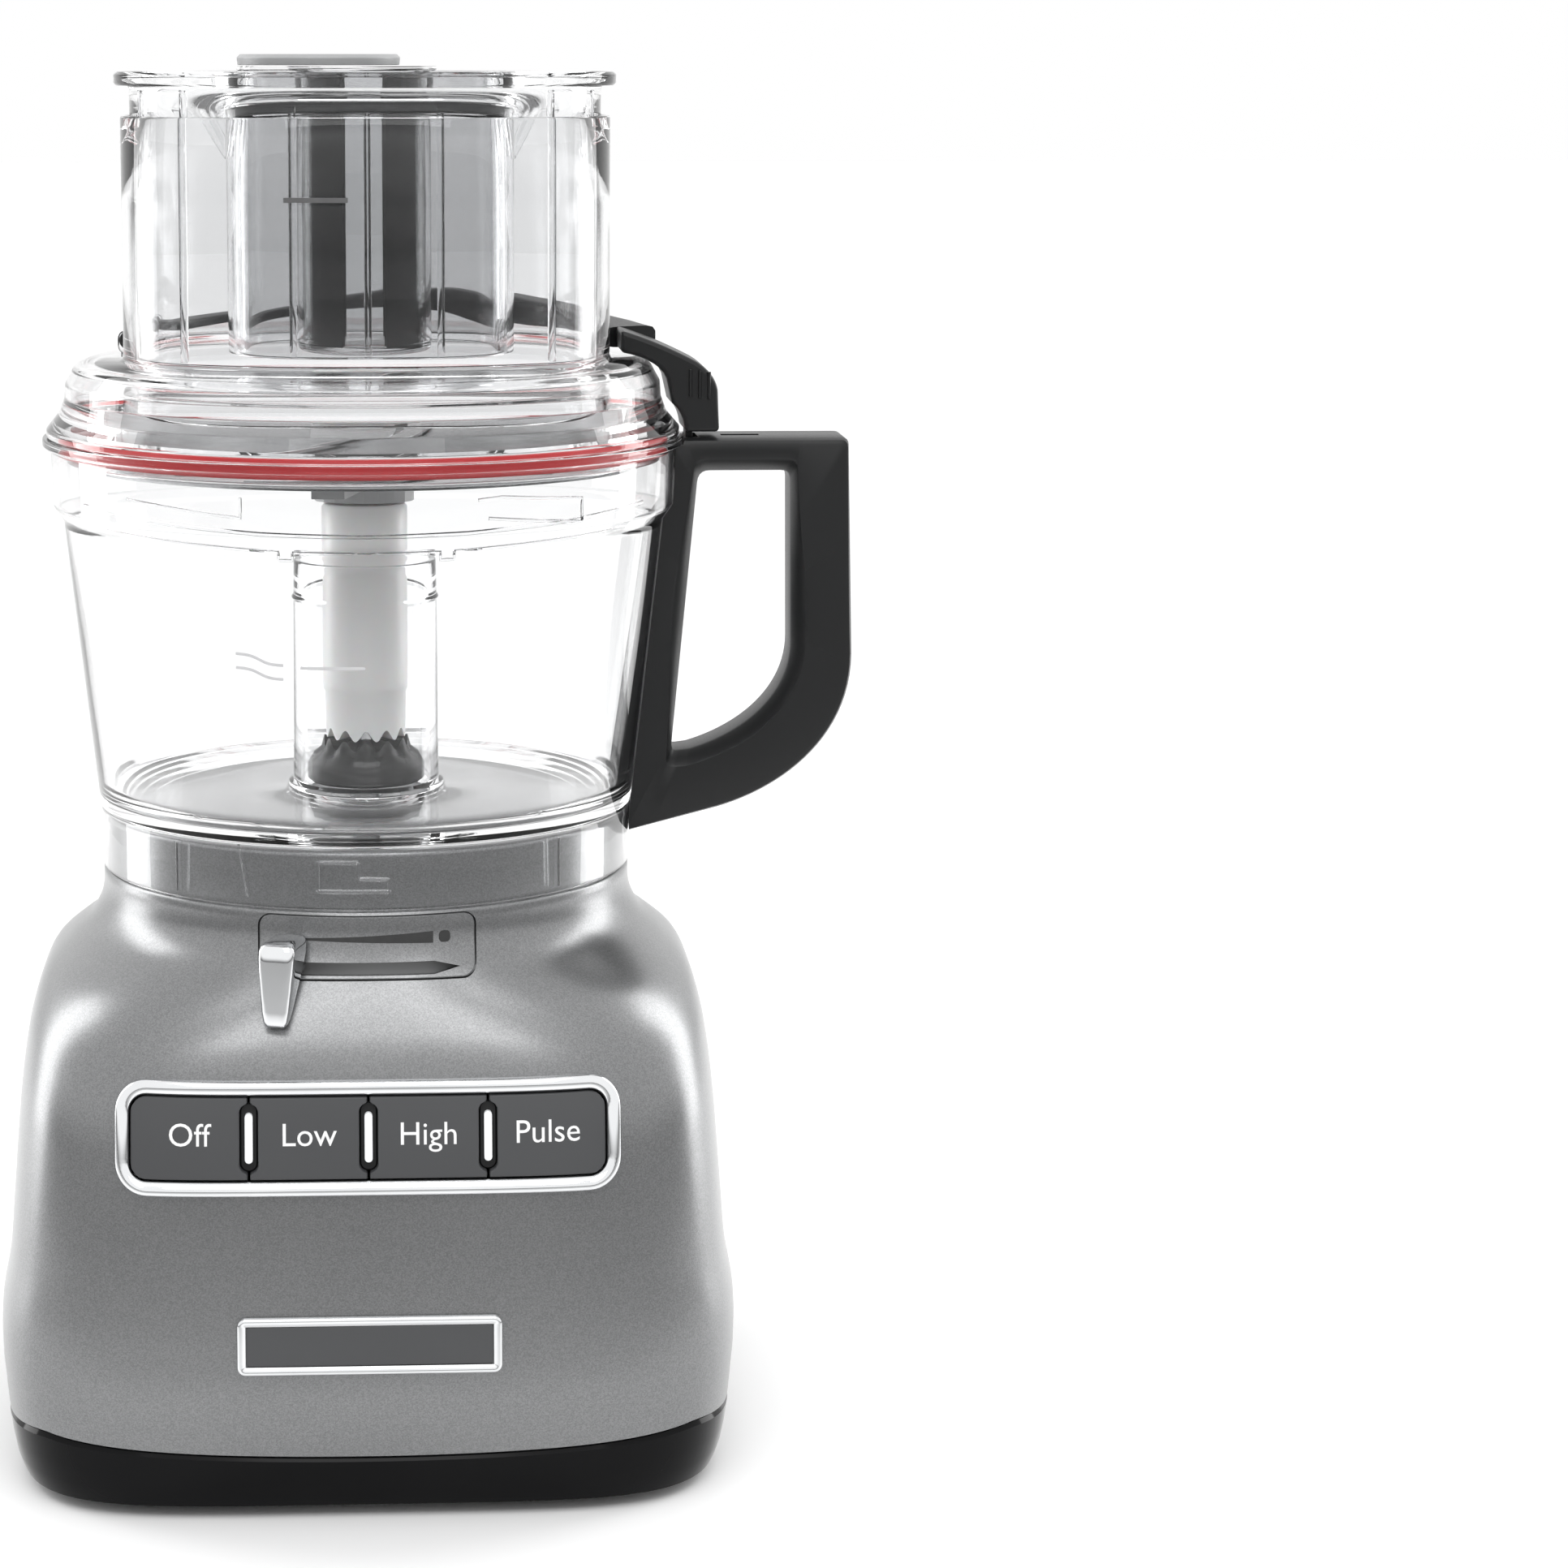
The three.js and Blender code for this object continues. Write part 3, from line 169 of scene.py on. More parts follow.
def fillet(corners, steps=5):
    """A path whose corners, each (x, z, radius), are rounded with arcs. Ends keep their place."""
    path = []
    for i, (x, z, radius) in enumerate(corners):
        here = Vector((x, z))
        if radius == 0 or i in (0, len(corners) - 1):
            path.append((x, z))
            continue
        back = Vector(corners[i - 1][:2]) - here
        on = Vector(corners[i + 1][:2]) - here
        half = back.angle(on) / 2
        run = min(radius / math.tan(half), 0.48 * back.length, 0.48 * on.length)
        first = here + back.normalized() * run
        last = here + on.normalized() * run
        for k in range(steps + 1):
            t = k / steps
            path.append(tuple((1 - t) ** 2 * first + 2 * t * (1 - t) * here + t * t * last))
    return path


def oval(half_x, half_y, squareness, z, count=192, x=0.0, y=0.0):
    """A level ring of points: squareness 2 is an ellipse, and larger values have fuller corners."""
    ring = []
    for i in range(count):
        turn = 2 * math.pi * i / count
        c, s = math.cos(turn), math.sin(turn)
        out = (abs(c / half_x) ** squareness + abs(s / half_y) ** squareness) ** (-1 / squareness)
        ring.append((x + out * c, y + out * s, z))
    return ring


def loft(rings, closed=False, ends=True):
    """Points and faces of a skin over rings with equal counts, joined into a loop or shut at both ends."""
    count = len(rings[0])
    points = [p for ring in rings for p in ring]
    faces = []
    for level in range(len(rings) if closed else len(rings) - 1):
        above = (level + 1) % len(rings)
        for i in range(count):
            j = (i + 1) % count
            faces.append((level * count + i, level * count + j, above * count + j, above * count + i))
    if ends and not closed:
        faces.append(tuple(reversed(range(count))))
        faces.append(tuple(range((len(rings) - 1) * count, len(rings) * count)))
    return points, faces


def turned(profile, count=160, x=0.0, y=0.0):
    """A closed profile of (radius, height) turned about an upright axis."""
    rings = [[(x + r * math.cos(a), y + r * math.sin(a), z) for r, z in profile]
             for a in (2 * math.pi * i / count for i in range(count))]
    return loft(rings, closed=True)


def mesh_of(name, shape, crease):
    points, faces = shape
    mesh = bpy.data.meshes.new(name)
    mesh.from_pydata([AXIS + Vector(p) / 1000 for p in points], [], faces)
    work = bmesh.new()
    work.from_mesh(mesh)
    bmesh.ops.remove_doubles(work, verts=work.verts, dist=2e-6)
    bmesh.ops.dissolve_degenerate(work, edges=work.edges, dist=1e-7)
    bmesh.ops.recalc_face_normals(work, faces=work.faces)
    work.to_mesh(mesh)
    work.free()
    mesh.shade_smooth()
    mesh.set_sharp_from_angle(angle=math.radians(crease))
    return mesh


def make_piece(name, shape, finish, body, stands_for=(), cutters=(), crease=34, bevel=0.0):
    """A finished piece that rides on a body, with other shapes cut out of it."""
    piece = bpy.data.objects.new(name, mesh_of(name, shape, crease))
    scene.collection.objects.link(piece)
    if cutters:
        tools = []
        for cutter in cutters:
            tool = bpy.data.objects.new("cutter", mesh_of("cutter", cutter, 30))
            scene.collection.objects.link(tool)
            tools.append(tool)
            cut = piece.modifiers.new("cut", "BOOLEAN")
            cut.object = tool
            cut.solver = "EXACT"
        seen = piece.evaluated_get(bpy.context.evaluated_depsgraph_get())
        carved = bpy.data.meshes.new_from_object(seen)
        piece.modifiers.clear()
        piece.data = carved
        carved.shade_smooth()
        carved.set_sharp_from_angle(angle=math.radians(crease))
        for tool in tools:
            bpy.data.objects.remove(tool)
    piece.data.materials.clear()
    piece.data.materials.append(finish.material)
    if bevel:
        edges = piece.modifiers.new("rounded_edges", "BEVEL")
        edges.width = bevel / 1000
        edges.segments = 3
        edges.angle_limit = math.radians(40)
    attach(piece, body)
    if stands_for:
        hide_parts(*stands_for)
    return piece


SILVER = Finish("silver_paint", Metallic=0.85, Coat_Weight=0.3, Coat_Roughness=0.2)
flake = SILVER.add("ShaderNodeTexVoronoi", None,
                   {"Vector": SILVER.place, "Scale": 3200.0}).output("Color")
speck = SILVER.add("ShaderNodeSeparateColor", None, {"Color": flake})
cloud = SILVER.noise(14.0)
SILVER.feed("Base Color",
            SILVER.shade(speck * 0.7 + cloud * 0.3, (0.155, 0.158, 0.161), (0.265, 0.268, 0.271)))
SILVER.feed("Roughness", 0.27 + cloud * 0.06)
SILVER.grain(speck, 0.05, 0.00005)

house_low, house_high = reach("base_housing")
BASE_HALF_X = house_high.x
BASE_HALF_Y = house_high.y
NECK_R = 82.7
HOUSE_BOTTOM = house_low.z
HOUSE_TOP = house_high.z
SIDES = 256
JOINT_DIP = 5.0
DIP_REACH = 30
# Share of the height, share of the half width and depth, squareness.
HOUSE_ROWS = [
    (0.0, 0.986, 0.99, 5), (0.05, 0.993, 0.996, 5), (0.11, 1.0, 1.0, 5), (0.19, 0.999, 0.993, 5),
    (0.29, 0.976, 0.982, 5), (0.40, 0.965, 0.968, 4.8), (0.515, 0.955, 0.95, 4.5),
    (0.60, 0.946, 0.932, 4.3), (0.67, 0.936, 0.91, 4), (0.745, 0.918, 0.875, 3.6),
    (0.81, 0.884, 0.832, 3), (0.864, 0.814, 0.793, 2.4), (0.891, 0.772, 0.775, 2.15),
    (0.93, 0.742, 0.755, 2), (0.964, 0.732, 0.745, 2), (1.0, 0.732, 0.745, 2),
]


def house_at(z):
    """Half width, half depth and squareness of the housing at a height, smooth through the rows."""
    share = min(max((z - HOUSE_BOTTOM) / (HOUSE_TOP - HOUSE_BOTTOM), 0.0), 1.0)
    i = 0
    while i < len(HOUSE_ROWS) - 2 and HOUSE_ROWS[i + 1][0] < share:
        i += 1
    low, high = HOUSE_ROWS[i], HOUSE_ROWS[i + 1]
    before = HOUSE_ROWS[max(i - 1, 0)]
    after = HOUSE_ROWS[min(i + 2, len(HOUSE_ROWS) - 1)]
    run = high[0] - low[0]
    t = (share - low[0]) / run
    found = []
    for k in (1, 2, 3):
        rise_low = (high[k] - before[k]) / (high[0] - before[0]) * run
        rise_high = (after[k] - low[k]) / (after[0] - low[0]) * run
        found.append(
            (2 * t**3 - 3 * t**2 + 1) * low[k] + (t**3 - 2 * t**2 + t) * rise_low
            + (3 * t**2 - 2 * t**3) * high[k] + (t**3 - t**2) * rise_high
        )
    wide, deep, squareness = found
    neck_wide, neck_deep = HOUSE_ROWS[-1][1:3]
    half_x = NECK_R + (wide - neck_wide) / (1 - neck_wide) * (BASE_HALF_X - NECK_R)
    half_y = NECK_R + (deep - neck_deep) / (1 - neck_deep) * (BASE_HALF_Y - NECK_R)
    return half_x, half_y, max(squareness, 2.0)


def bowed(points, foot=0.0):
    """Lower the middle of each side, most at the joint with the plinth and fading out away from it."""
    moved = []
    for x, y, z in points:
        apart = abs(z - HOUSE_BOTTOM) / (DIP_REACH if z > HOUSE_BOTTOM else HOUSE_BOTTOM - foot)
        corner = min(abs(x) / BASE_HALF_X, abs(y) / BASE_HALF_Y)
        moved.append((x, y, z - JOINT_DIP * max(0.0, 1 - apart) * max(0.0, 1 - (corner / 0.9) ** 2)))
    return moved


def house_ring(z, grow):
    half_x, half_y, squareness = house_at(z)
    return bowed(oval(half_x + grow, half_y + grow, squareness, z, SIDES))


def front_at(x, z):
    """How far the housing's front is from the axis."""
    half_x, half_y, squareness = house_at(z)
    return half_y * (1 - min(abs(x) / half_x, 0.999) ** squareness) ** (1 / squareness)


def softened(x, z, half, high, radius):
    """A point of a rectangle, moved so that the corners become round."""
    over_x = abs(x) - (half - radius)
    over_z = abs(z) - (high - radius)
    if over_x > 0 and over_z > 0:
        scale = max(over_x, over_z) / math.hypot(over_x, over_z)
        x = math.copysign(half - radius + over_x * scale, x)
        z = math.copysign(high - radius + over_z * scale, z)
    return x, z


def rod(outline, z, ends):
    """An outline in x and z, carried along y from one place to another."""
    return loft([[(p[0], y, z + p[1]) for p in outline] for y in ends])


def measures(node):
    """Width, height and middle height of a CAD node."""
    low, high = reach(node)
    return high.x - low.x, high.z - low.z, (high.z + low.z) / 2


def lines_across(half, radius, middle, corner=6):
    """Grid lines from -half to half, closer together over the round corners."""
    side = [radius * k / corner for k in range(corner)]
    inner = half - radius
    return ([-half + s for s in side] + [-inner + 2 * inner * k / middle for k in range(middle + 1)]
            + [half - s for s in reversed(side)])


def pad(x, z, width, height, radius, levels, frame_only=False, columns=24, rows=10, notch=None):
    """A rounded rectangle that follows the housing's front. Levels are (inset, height above the paint) from
    the back edge over the top; the last one is filled, or with frame_only joined to the first."""
    shells = []
    for inset, out in levels:
        half, high = width / 2 - inset, height / 2 - inset
        round_by = max(radius - inset, 0.05)
        across = lines_across(half, round_by, columns)
        up = lines_across(high, round_by, rows)
        grid = [[softened(a, b, half, high, round_by) for b in up] for a in across]
        if notch:
            grid = [[notch(a, b) for a, b in column] for column in grid]
        grid = [[(x + a, -(front_at(x + a, z + b) + out), z + b) for a, b in column] for column in grid]
        shells.append(grid)
    last_x, last_z = len(shells[0]) - 1, len(shells[0][0]) - 1
    edge = ([(i, 0) for i in range(last_x)] + [(last_x, j) for j in range(last_z)]
            + [(i, last_z) for i in range(last_x, 0, -1)] + [(0, j) for j in range(last_z, 0, -1)])
    rings = [[grid[i][j] for i, j in edge] for grid in shells]
    points, faces = loft(rings, closed=frame_only, ends=False)
    if not frame_only:
        for grid in (shells[0], shells[-1]):
            start = len(points)
            points = points + [p for column in grid for p in column]
            for i in range(last_x):
                for j in range(last_z):
                    a = start + i * (last_z + 1) + j
                    faces.append((a, a + last_z + 1, a + last_z + 2, a + 1))
    return points, faces


SHELL = 3.0
DECK_R = NECK_R - 2.8
PANEL_W, PANEL_H, PANEL_Z = measures("control_bezel")
dial_wide, dial_tall, DIAL_Z = measures("thickness_dial")
DIAL_W = dial_wide + 0.6
DIAL_H = dial_tall + 0.6
SLOT_Z = measures("adjuster_ring")[2]
SLOT_HALF = 28.0
CORD_Z = measures("cord_gland")[2]
CORD_HOLE_R = 7
LEVELS = 72
heights = [HOUSE_BOTTOM + (HOUSE_TOP - 1.2 - HOUSE_BOTTOM) * i / LEVELS for i in range(LEVELS + 1)]
skin = [house_ring(HOUSE_BOTTOM, -1.0)] + [house_ring(z + (0.5 if z == HOUSE_BOTTOM else 0), 0)
                                           for z in heights]
skin += [oval(r, r, 2, z, SIDES) for r, z in (
    (NECK_R - 0.4, HOUSE_TOP - 0.4), (NECK_R - 1.2, HOUSE_TOP), (DECK_R - SHELL, HOUSE_TOP),
    (DECK_R - SHELL, HOUSE_TOP - SHELL))]
skin += [house_ring(z, -SHELL) for z in reversed(heights[::6]) if z < HOUSE_TOP - SHELL - 1]
cord_hole = rod(oval(CORD_HOLE_R, CORD_HOLE_R, 2, 0, 32), CORD_Z, (70, 150))
key_hole = rod(oval(PANEL_W / 2 - 2.2, PANEL_H / 2 - 2.2, 8, 0, 64), PANEL_Z, (-60, -150))
slit = oval(SLOT_HALF, 2.0, 8, 0, 64)
slot_hole = rod(slit, SLOT_Z, (-50, -150))
dial_pocket = pad(0, DIAL_Z, DIAL_W, DIAL_H, 4, [(0, -1.6), (0, 4)])
make_piece("housing_shell", loft(skin, closed=True), SILVER, "base", ["base_housing"],
           [key_hole, dial_pocket, slot_hole, cord_hole], crease=40)

# ---- Motor base: deck ----
# The raised disc inside the bowl's skirt, painted like the housing and clipped into its neck. It
# carries the upper bearing, and its rim centres the bowl.

deck_low, deck_high = reach("base_deck")
DECK = deck_high.z
BORE_R = 11.3
deck_profile = fillet([
    (BORE_R, DECK - SHELL, 0), (DECK_R - SHELL, DECK - SHELL, 1), (DECK_R - SHELL, deck_low.z, 0),
    (DECK_R, deck_low.z, 0.4), (DECK_R, DECK, 1.8), (26, DECK, 0.8), (25, DECK - 0.8, 0.4),
    (BORE_R, DECK - 0.8, 0),
])
make_piece("deck_cap", turned(deck_profile), SILVER, "base", ["base_deck"])

# ---- Motor base: plinth, bottom cover, feet ----
# A gloss black foot ring closes the housing from below. A plain dark cover is screwed
# under it, and four rubber feet stand clear of the table's dust.

BLACK = Finish("gloss_black", Specular_IOR_Level=0.1)
haze = BLACK.noise(30.0)
BLACK.colour(haze, (0.003, 0.003, 0.0033), (0.006, 0.006, 0.0065), 0.07, 0.05)

plinth_low, plinth_high = reach("base_plinth")
PLINTH_ROWS = [(0.0, 0.948, 0.0), (0.0, 0.953, 0.0), (0.1, 0.960, 0.0), (0.3, 0.970, 0.0),
               (0.6, 0.979, 0.0), (0.93, 0.986, 0.0), (1.0, 0.986, -0.7)]
foot_wide = PLINTH_ROWS[1][1]
plinth_skin = []
for share, wide, inset in PLINTH_ROWS:
    z = plinth_low.z + share * (plinth_high.z - plinth_low.z)
    ring = oval(BASE_HALF_X * wide + inset, BASE_HALF_Y * wide + inset, 5, z, SIDES)
    plinth_skin.append(bowed(ring, plinth_low.z))
for z in (plinth_high.z, plinth_low.z):
    ring = oval(BASE_HALF_X * foot_wide - SHELL, BASE_HALF_Y * foot_wide - SHELL, 5, z, SIDES)
    plinth_skin.append(bowed(ring, plinth_low.z))
make_piece("plinth_ring", loft(plinth_skin, closed=True), BLACK, "base", ["base_plinth"])

DARK = Finish("dark_plastic", Specular_IOR_Level=0.3)
pores = DARK.noise(1400.0, 2.0)
shine = DARK.noise(9.0)
DARK.feed("Base Color", DARK.shade(shine, (0.009, 0.0093, 0.0098), (0.016, 0.0164, 0.017)))
DARK.feed("Roughness", 0.32 + pores * 0.12)
DARK.grain(pores, 0.12, 0.0001)

RUBBER = Finish("rubber", Specular_IOR_Level=0.3)
dust = RUBBER.noise(60.0)
RUBBER.colour(dust, (0.012, 0.012, 0.012), (0.035, 0.035, 0.034), 0.7, 0.25)
RUBBER.grain(RUBBER.noise(900.0), 0.15, 0.0001)


def dress(node, finish, bevel=0.0):
    """A CAD node that keeps its shape gets its finish, and softer edges."""
    part = frame["nodes"][node]
    part.data.materials.clear()
    part.data.materials.append(finish.material)
    if bevel:
        edges = part.modifiers.new("soft_edges", "BEVEL")
        edges.width = bevel / 1000
        edges.segments = 2
        edges.angle_limit = math.radians(40)


CORNERS = ["front_left", "front_right", "rear_left", "rear_right"]
dress("bottom_cover", DARK, 0.4)
for corner in CORNERS:
    dress(f"foot_{corner}", RUBBER, 0.3)
dress("cord_gland", RUBBER, 0.5)

# ---- Badge ----
# A chrome frame with a plain dark plate, glued to the front of the housing.

CHROME = Finish("chrome", Metallic=1.0)
film = CHROME.noise(45.0)
CHROME.colour(film, (0.70, 0.71, 0.72), (0.82, 0.83, 0.84), 0.05, 0.05)

KEY_GREY = Finish("button_grey", Specular_IOR_Level=0.45)
tooth = KEY_GREY.noise(1600.0, 2.0)
wash = KEY_GREY.noise(12.0)
KEY_GREY.feed("Base Color", KEY_GREY.shade(wash, (0.052, 0.053, 0.056), (0.068, 0.07, 0.073)))
KEY_GREY.feed("Roughness", 0.38 + tooth * 0.1)
KEY_GREY.grain(tooth, 0.06, 0.0001)

BADGE_W, BADGE_H, BADGE_Z = measures("badge_frame")
badge_levels = [(0, 0.02), (0, 1.2), (0.35, 1.7), (1.0, 1.9), (1.8, 1.6), (2.5, 1.1), (2.5, 0.02)]
make_piece("badge_rim", pad(0, BADGE_Z, BADGE_W, BADGE_H, 2.5, badge_levels, True), CHROME, "base",
           ["badge_frame"], crease=50)
make_piece("badge_face", pad(0, BADGE_Z, BADGE_W - 5.4, BADGE_H - 5.4, 0.9,
                             [(0, 0.02), (0, 0.9), (0.4, 1.1)]),
           KEY_GREY, "base", ["badge_plate"])

# ---- Thickness panel and slicing lever ----
# An inlay in the housing's paint with a printed wedge scale. The chrome lever comes through its slot
# and turns the ring about the spindle that sets how thick the slices are.

tab_w = SLOT_HALF * 2 - 0.8
slot_cut = rod([(a * tab_w / 2 / SLOT_HALF, b * 0.9) for a, b, _ in slit], SLOT_Z, (-50, -150))
make_piece("thickness_panel",
           pad(0, DIAL_Z, DIAL_W - 0.7, DIAL_H - 0.7, 3.7, [(0, -1.3), (0, -0.5), (0.35, -0.2)]),
           SILVER, "base", ["thickness_dial"], [slot_cut])

PRINT_BLACK = Finish("printed_black")
PRINT_BLACK.colour(PRINT_BLACK.noise(400.0), (0.012, 0.012, 0.012), (0.03, 0.03, 0.03), 0.45)


def flat_print(rows, out):
    """A thin printed shape on the housing's front, from (x, lower edge, upper edge) rows."""
    rings = []
    for x, low, high in rows:
        corners = ((low, out - 0.06), (high, out - 0.06), (high, out), (low, out))
        rings.append([(x, -(front_at(x, z) + depth), z) for z, depth in corners])
    return loft(rings)


SCALE_Z = 170.0
wedge_rows = []
for k in range(31):
    share = k / 30
    wedge_rows.append((-26.0 + 45.6 * share, SCALE_Z - 0.2 - 1.2 * share**1.3,
                       SCALE_Z + 0.2 + 1.8 * share**1.3))
make_piece("scale_wedge", flat_print(wedge_rows, -0.1), PRINT_BLACK, "base")
square = []
for a in (-1.7, -1.5, -1, 0, 1, 1.5, 1.7):
    tall = math.sqrt(1 - (a / 1.75) ** 4) * 1.7
    square.append((23.0 + a, SCALE_Z + 0.3 - tall, SCALE_Z + 0.3 + tall))
make_piece("scale_end_mark", flat_print(square, -0.1), PRINT_BLACK, "base")

lever_low, lever_high = reach("slice_lever")
SWING = math.radians(-15.5)


def swung(points):
    c, s = math.cos(SWING), math.sin(SWING)
    return [(x * c - y * s, x * s + y * c, z) for x, y, z in points]


def swept(z):
    """How far out the lever's back must be to clear the housing anywhere in its swing."""
    x = NECK_R * math.sin(-SWING) + 9
    return math.hypot(x, front_at(x, z))


LEVER_ROWS = [(0.0, 2.4, 1.2), (0.03, 3.2, 0.5), (0.08, 3.7, 0.1), (0.2, 4.2, 0), (0.4, 4.7, 0.2),
              (0.6, 5.2, 0.5), (0.8, 5.6, 0.9), (0.92, 5.6, 1.3), (0.97, 5.2, 2.0), (1.0, 4.2, 3.2)]
lever_front = swept(lever_low.z) + 5.0
lever_rings = []
for share, half, back_off in LEVER_ROWS:
    z = lever_low.z + share * (lever_high.z - lever_low.z)
    near = swept(z) + 1.3 + back_off * 0.3
    far = lever_front - back_off
    lever_rings.append(swung(oval(half, (far - near) / 2, 6, z, 64, 0, -(near + far) / 2)))
make_piece("lever_handle", loft(lever_rings), CHROME, "adjuster", ["slice_lever"], crease=60)
tab = oval(4, 1.3, 4, 0, 32)
tab_rings = [swung([(a, y, SLOT_Z + b) for a, b, _ in tab])
             for y in (-(NECK_R - 7.7), -(swept(SLOT_Z) + 3))]
make_piece("lever_neck", loft(tab_rings), CHROME, "adjuster")
GREY = Finish("grey_plastic", Specular_IOR_Level=0.5)
mottle = GREY.noise(18.0)
GREY.colour(mottle, (0.30, 0.304, 0.308), (0.38, 0.384, 0.388), 0.34, 0.1)
GREY.grain(GREY.noise(1100.0), 0.05, 0.0001)
dress("adjuster_ring", GREY, 0.4)
dress("adjuster_sleeve", GREY)
shield = turned([(80.6, SLOT_Z - 3.2), (82, SLOT_Z - 3.2), (82, SLOT_Z + 3.2), (80.6, SLOT_Z + 3.2)])
make_piece("slot_shield", shield, GREY, "adjuster")

# ---- Control panel ----
# Four satin dark grey keys in one chrome frame, each on its own switch. Three milky light bars sit
# in oval grooves between them, and the words on the keys are pad-printed in white.

bezel_levels = [(0, 0.02), (0, 1.4), (0.35, 2.0), (1.1, 2.4), (2.2, 2.35), (3.4, 1.7), (4.1, 0.9),
                (4.3, 0.3), (4.3, -3)]
make_piece("bezel_ring", pad(0, PANEL_Z, PANEL_W, PANEL_H, 9.5, bezel_levels, True, 48, 12), CHROME,
           "base", ["control_bezel"], crease=60)

KEYS = ["off", "low", "high", "pulse"]
WORDS = ["Off", "Low", "High", "Pulse"]
BORDER = 4.3
KEYS_W = PANEL_W - 2 * BORDER
KEYS_H = PANEL_H - 2 * BORDER
KEY_GAP = 0.35
PITCH = KEYS_W / 4
GROOVE_HALF, GROOVE_HIGH = 2.75, 10.1
PRINT_WHITE = Finish("printed_white")
PRINT_WHITE.colour(PRINT_WHITE.noise(300.0), (0.78, 0.78, 0.78), (0.9, 0.9, 0.9), 0.5)


def key_shape(index):
    """One key. The end keys have the frame's round corners, and sides by a light follow its groove."""
    left = -KEYS_W / 2 + index * PITCH + KEY_GAP
    right = left + PITCH - 2 * KEY_GAP
    middle, half = (left + right) / 2, (right - left) / 2

    def side_cut(a, b):
        over = max(abs(b) - GROOVE_HIGH + GROOVE_HALF, 0) / GROOVE_HALF
        bite = GROOVE_HALF * math.sqrt(max(0.0, 1 - over**2))
        bite = max(bite - KEY_GAP, 0) if abs(b) < GROOVE_HIGH else 0
        start = -half + (bite if index > 0 else 0)
        end = half - (bite if index < 3 else 0)
        at = (a + half) / (2 * half)
        a = start + (end - start) * min(max(at, 0), 1)
        outer = KEYS_W / 2 - KEY_GAP
        corner, tall = 5.0, KEYS_H / 2 - KEY_GAP
        whole = middle + a
        if abs(whole) > outer - corner and abs(b) > tall - corner:
            lean = corner - math.sqrt(max(corner**2 - (abs(whole) - outer + corner) ** 2, 0))
            b = math.copysign(min(abs(b), tall - lean), b)
        return a, b

    levels = [(0, -5), (0, 0.3), (0.12, 0.65), (0.45, 0.9)]
    return pad(middle, PANEL_Z, 2 * half, KEYS_H - 2 * KEY_GAP, 0.4, levels, False, 30, 48, side_cut)


def words_on(word, x, z, size, out, name, finish, body):
    """A printed word, laid on the housing's front."""
    curve = bpy.data.curves.new(name, "FONT")
    curve.body = word
    curve.align_x = "CENTER"
    curve.align_y = "CENTER"
    curve.size = size
    curve.extrude = 0.03
    curve.resolution_u = 4
    holder = bpy.data.objects.new("lettering", curve)
    scene.collection.objects.link(holder)
    drawn = bpy.data.meshes.new_from_object(holder.evaluated_get(bpy.context.evaluated_depsgraph_get()))
    bpy.data.objects.remove(holder)
    points = [(x + v.co.x, -(front_at(x + v.co.x, z + v.co.y) + out + v.co.z), z + v.co.y)
              for v in drawn.vertices]
    faces = [tuple(f.vertices) for f in drawn.polygons]
    make_piece(name, (points, faces), finish, body)


for index, key in enumerate(KEYS):
    make_piece(f"key_{key}", key_shape(index), KEY_GREY, f"key_{key}", [f"button_{key}"],
               crease=45)
    middle = -KEYS_W / 2 + (index + 0.5) * PITCH
    words_on(WORDS[index], middle, PANEL_Z + 0.9, 9.4, 0.93, f"word_{key}", PRINT_WHITE, f"key_{key}")

LIGHT = Finish("light_white", Roughness=0.3, Emission_Color=(0.9, 0.93, 0.95, 1),
               Emission_Strength=0.25)
LIGHT.feed("Base Color", LIGHT.shade(LIGHT.noise(80.0), (0.82, 0.84, 0.85), (0.92, 0.93, 0.94)))
for i in (1, 2, 3):
    x = -KEYS_W / 2 + i * PITCH
    make_piece(f"light_slit_{i}",
               pad(x, PANEL_Z, 2.3, 14.2, 1.1, [(0, -7), (0, 0.2), (0.3, 0.5)], False, 4, 16), LIGHT,
               "base", [f"light_bar_{i}"])
    make_piece(f"light_well_{i}", pad(x, PANEL_Z, 2 * GROOVE_HALF - 0.4, 2 * GROOVE_HIGH - 0.4, 2.4,
                                      [(0, -7), (0, -2.0), (0.4, -1.6)], False, 6, 16), DARK, "base")

# ---- Bowl ----
# Clear polished plastic, moulded in one with the tube in its middle and the skirt that locks onto the
# base. Raised lugs on the skirt and under the collar are the bayonets of the base and the lid.

SHADOW_TINT = (0.9, 0.9, 0.9, 1)


def clear_finish(name, tint, rough, waver, shine=1.0):
    """Clear plastic. Rays from lamps pass straight through it, so that what is inside is lit."""
    clear = Finish(name, Base_Color=(*tint, 1), Roughness=rough, IOR=1.42, Transmission_Weight=1.0,
                   Specular_Tint=(shine, shine, shine, 1))
    clear.grain(clear.noise(26.0, 1.0), waver, 0.0012)
    passing = clear.add("ShaderNodeBsdfTransparent", None, {"Color": SHADOW_TINT})
    lamp = clear.add("ShaderNodeLightPath").output("Is Shadow Ray")
    body = Wire(clear.tree, clear.shader.outputs[0])
    both = clear.add("ShaderNodeMixShader", None, {0: lamp, 1: body, 2: passing})
    clear.tree.links.new(both.socket, clear.end.inputs["Surface"])
    return clear


CLEAR = clear_finish("clear_plastic", (0.975, 0.977, 0.98), 0.012, 0.06, 0.7)

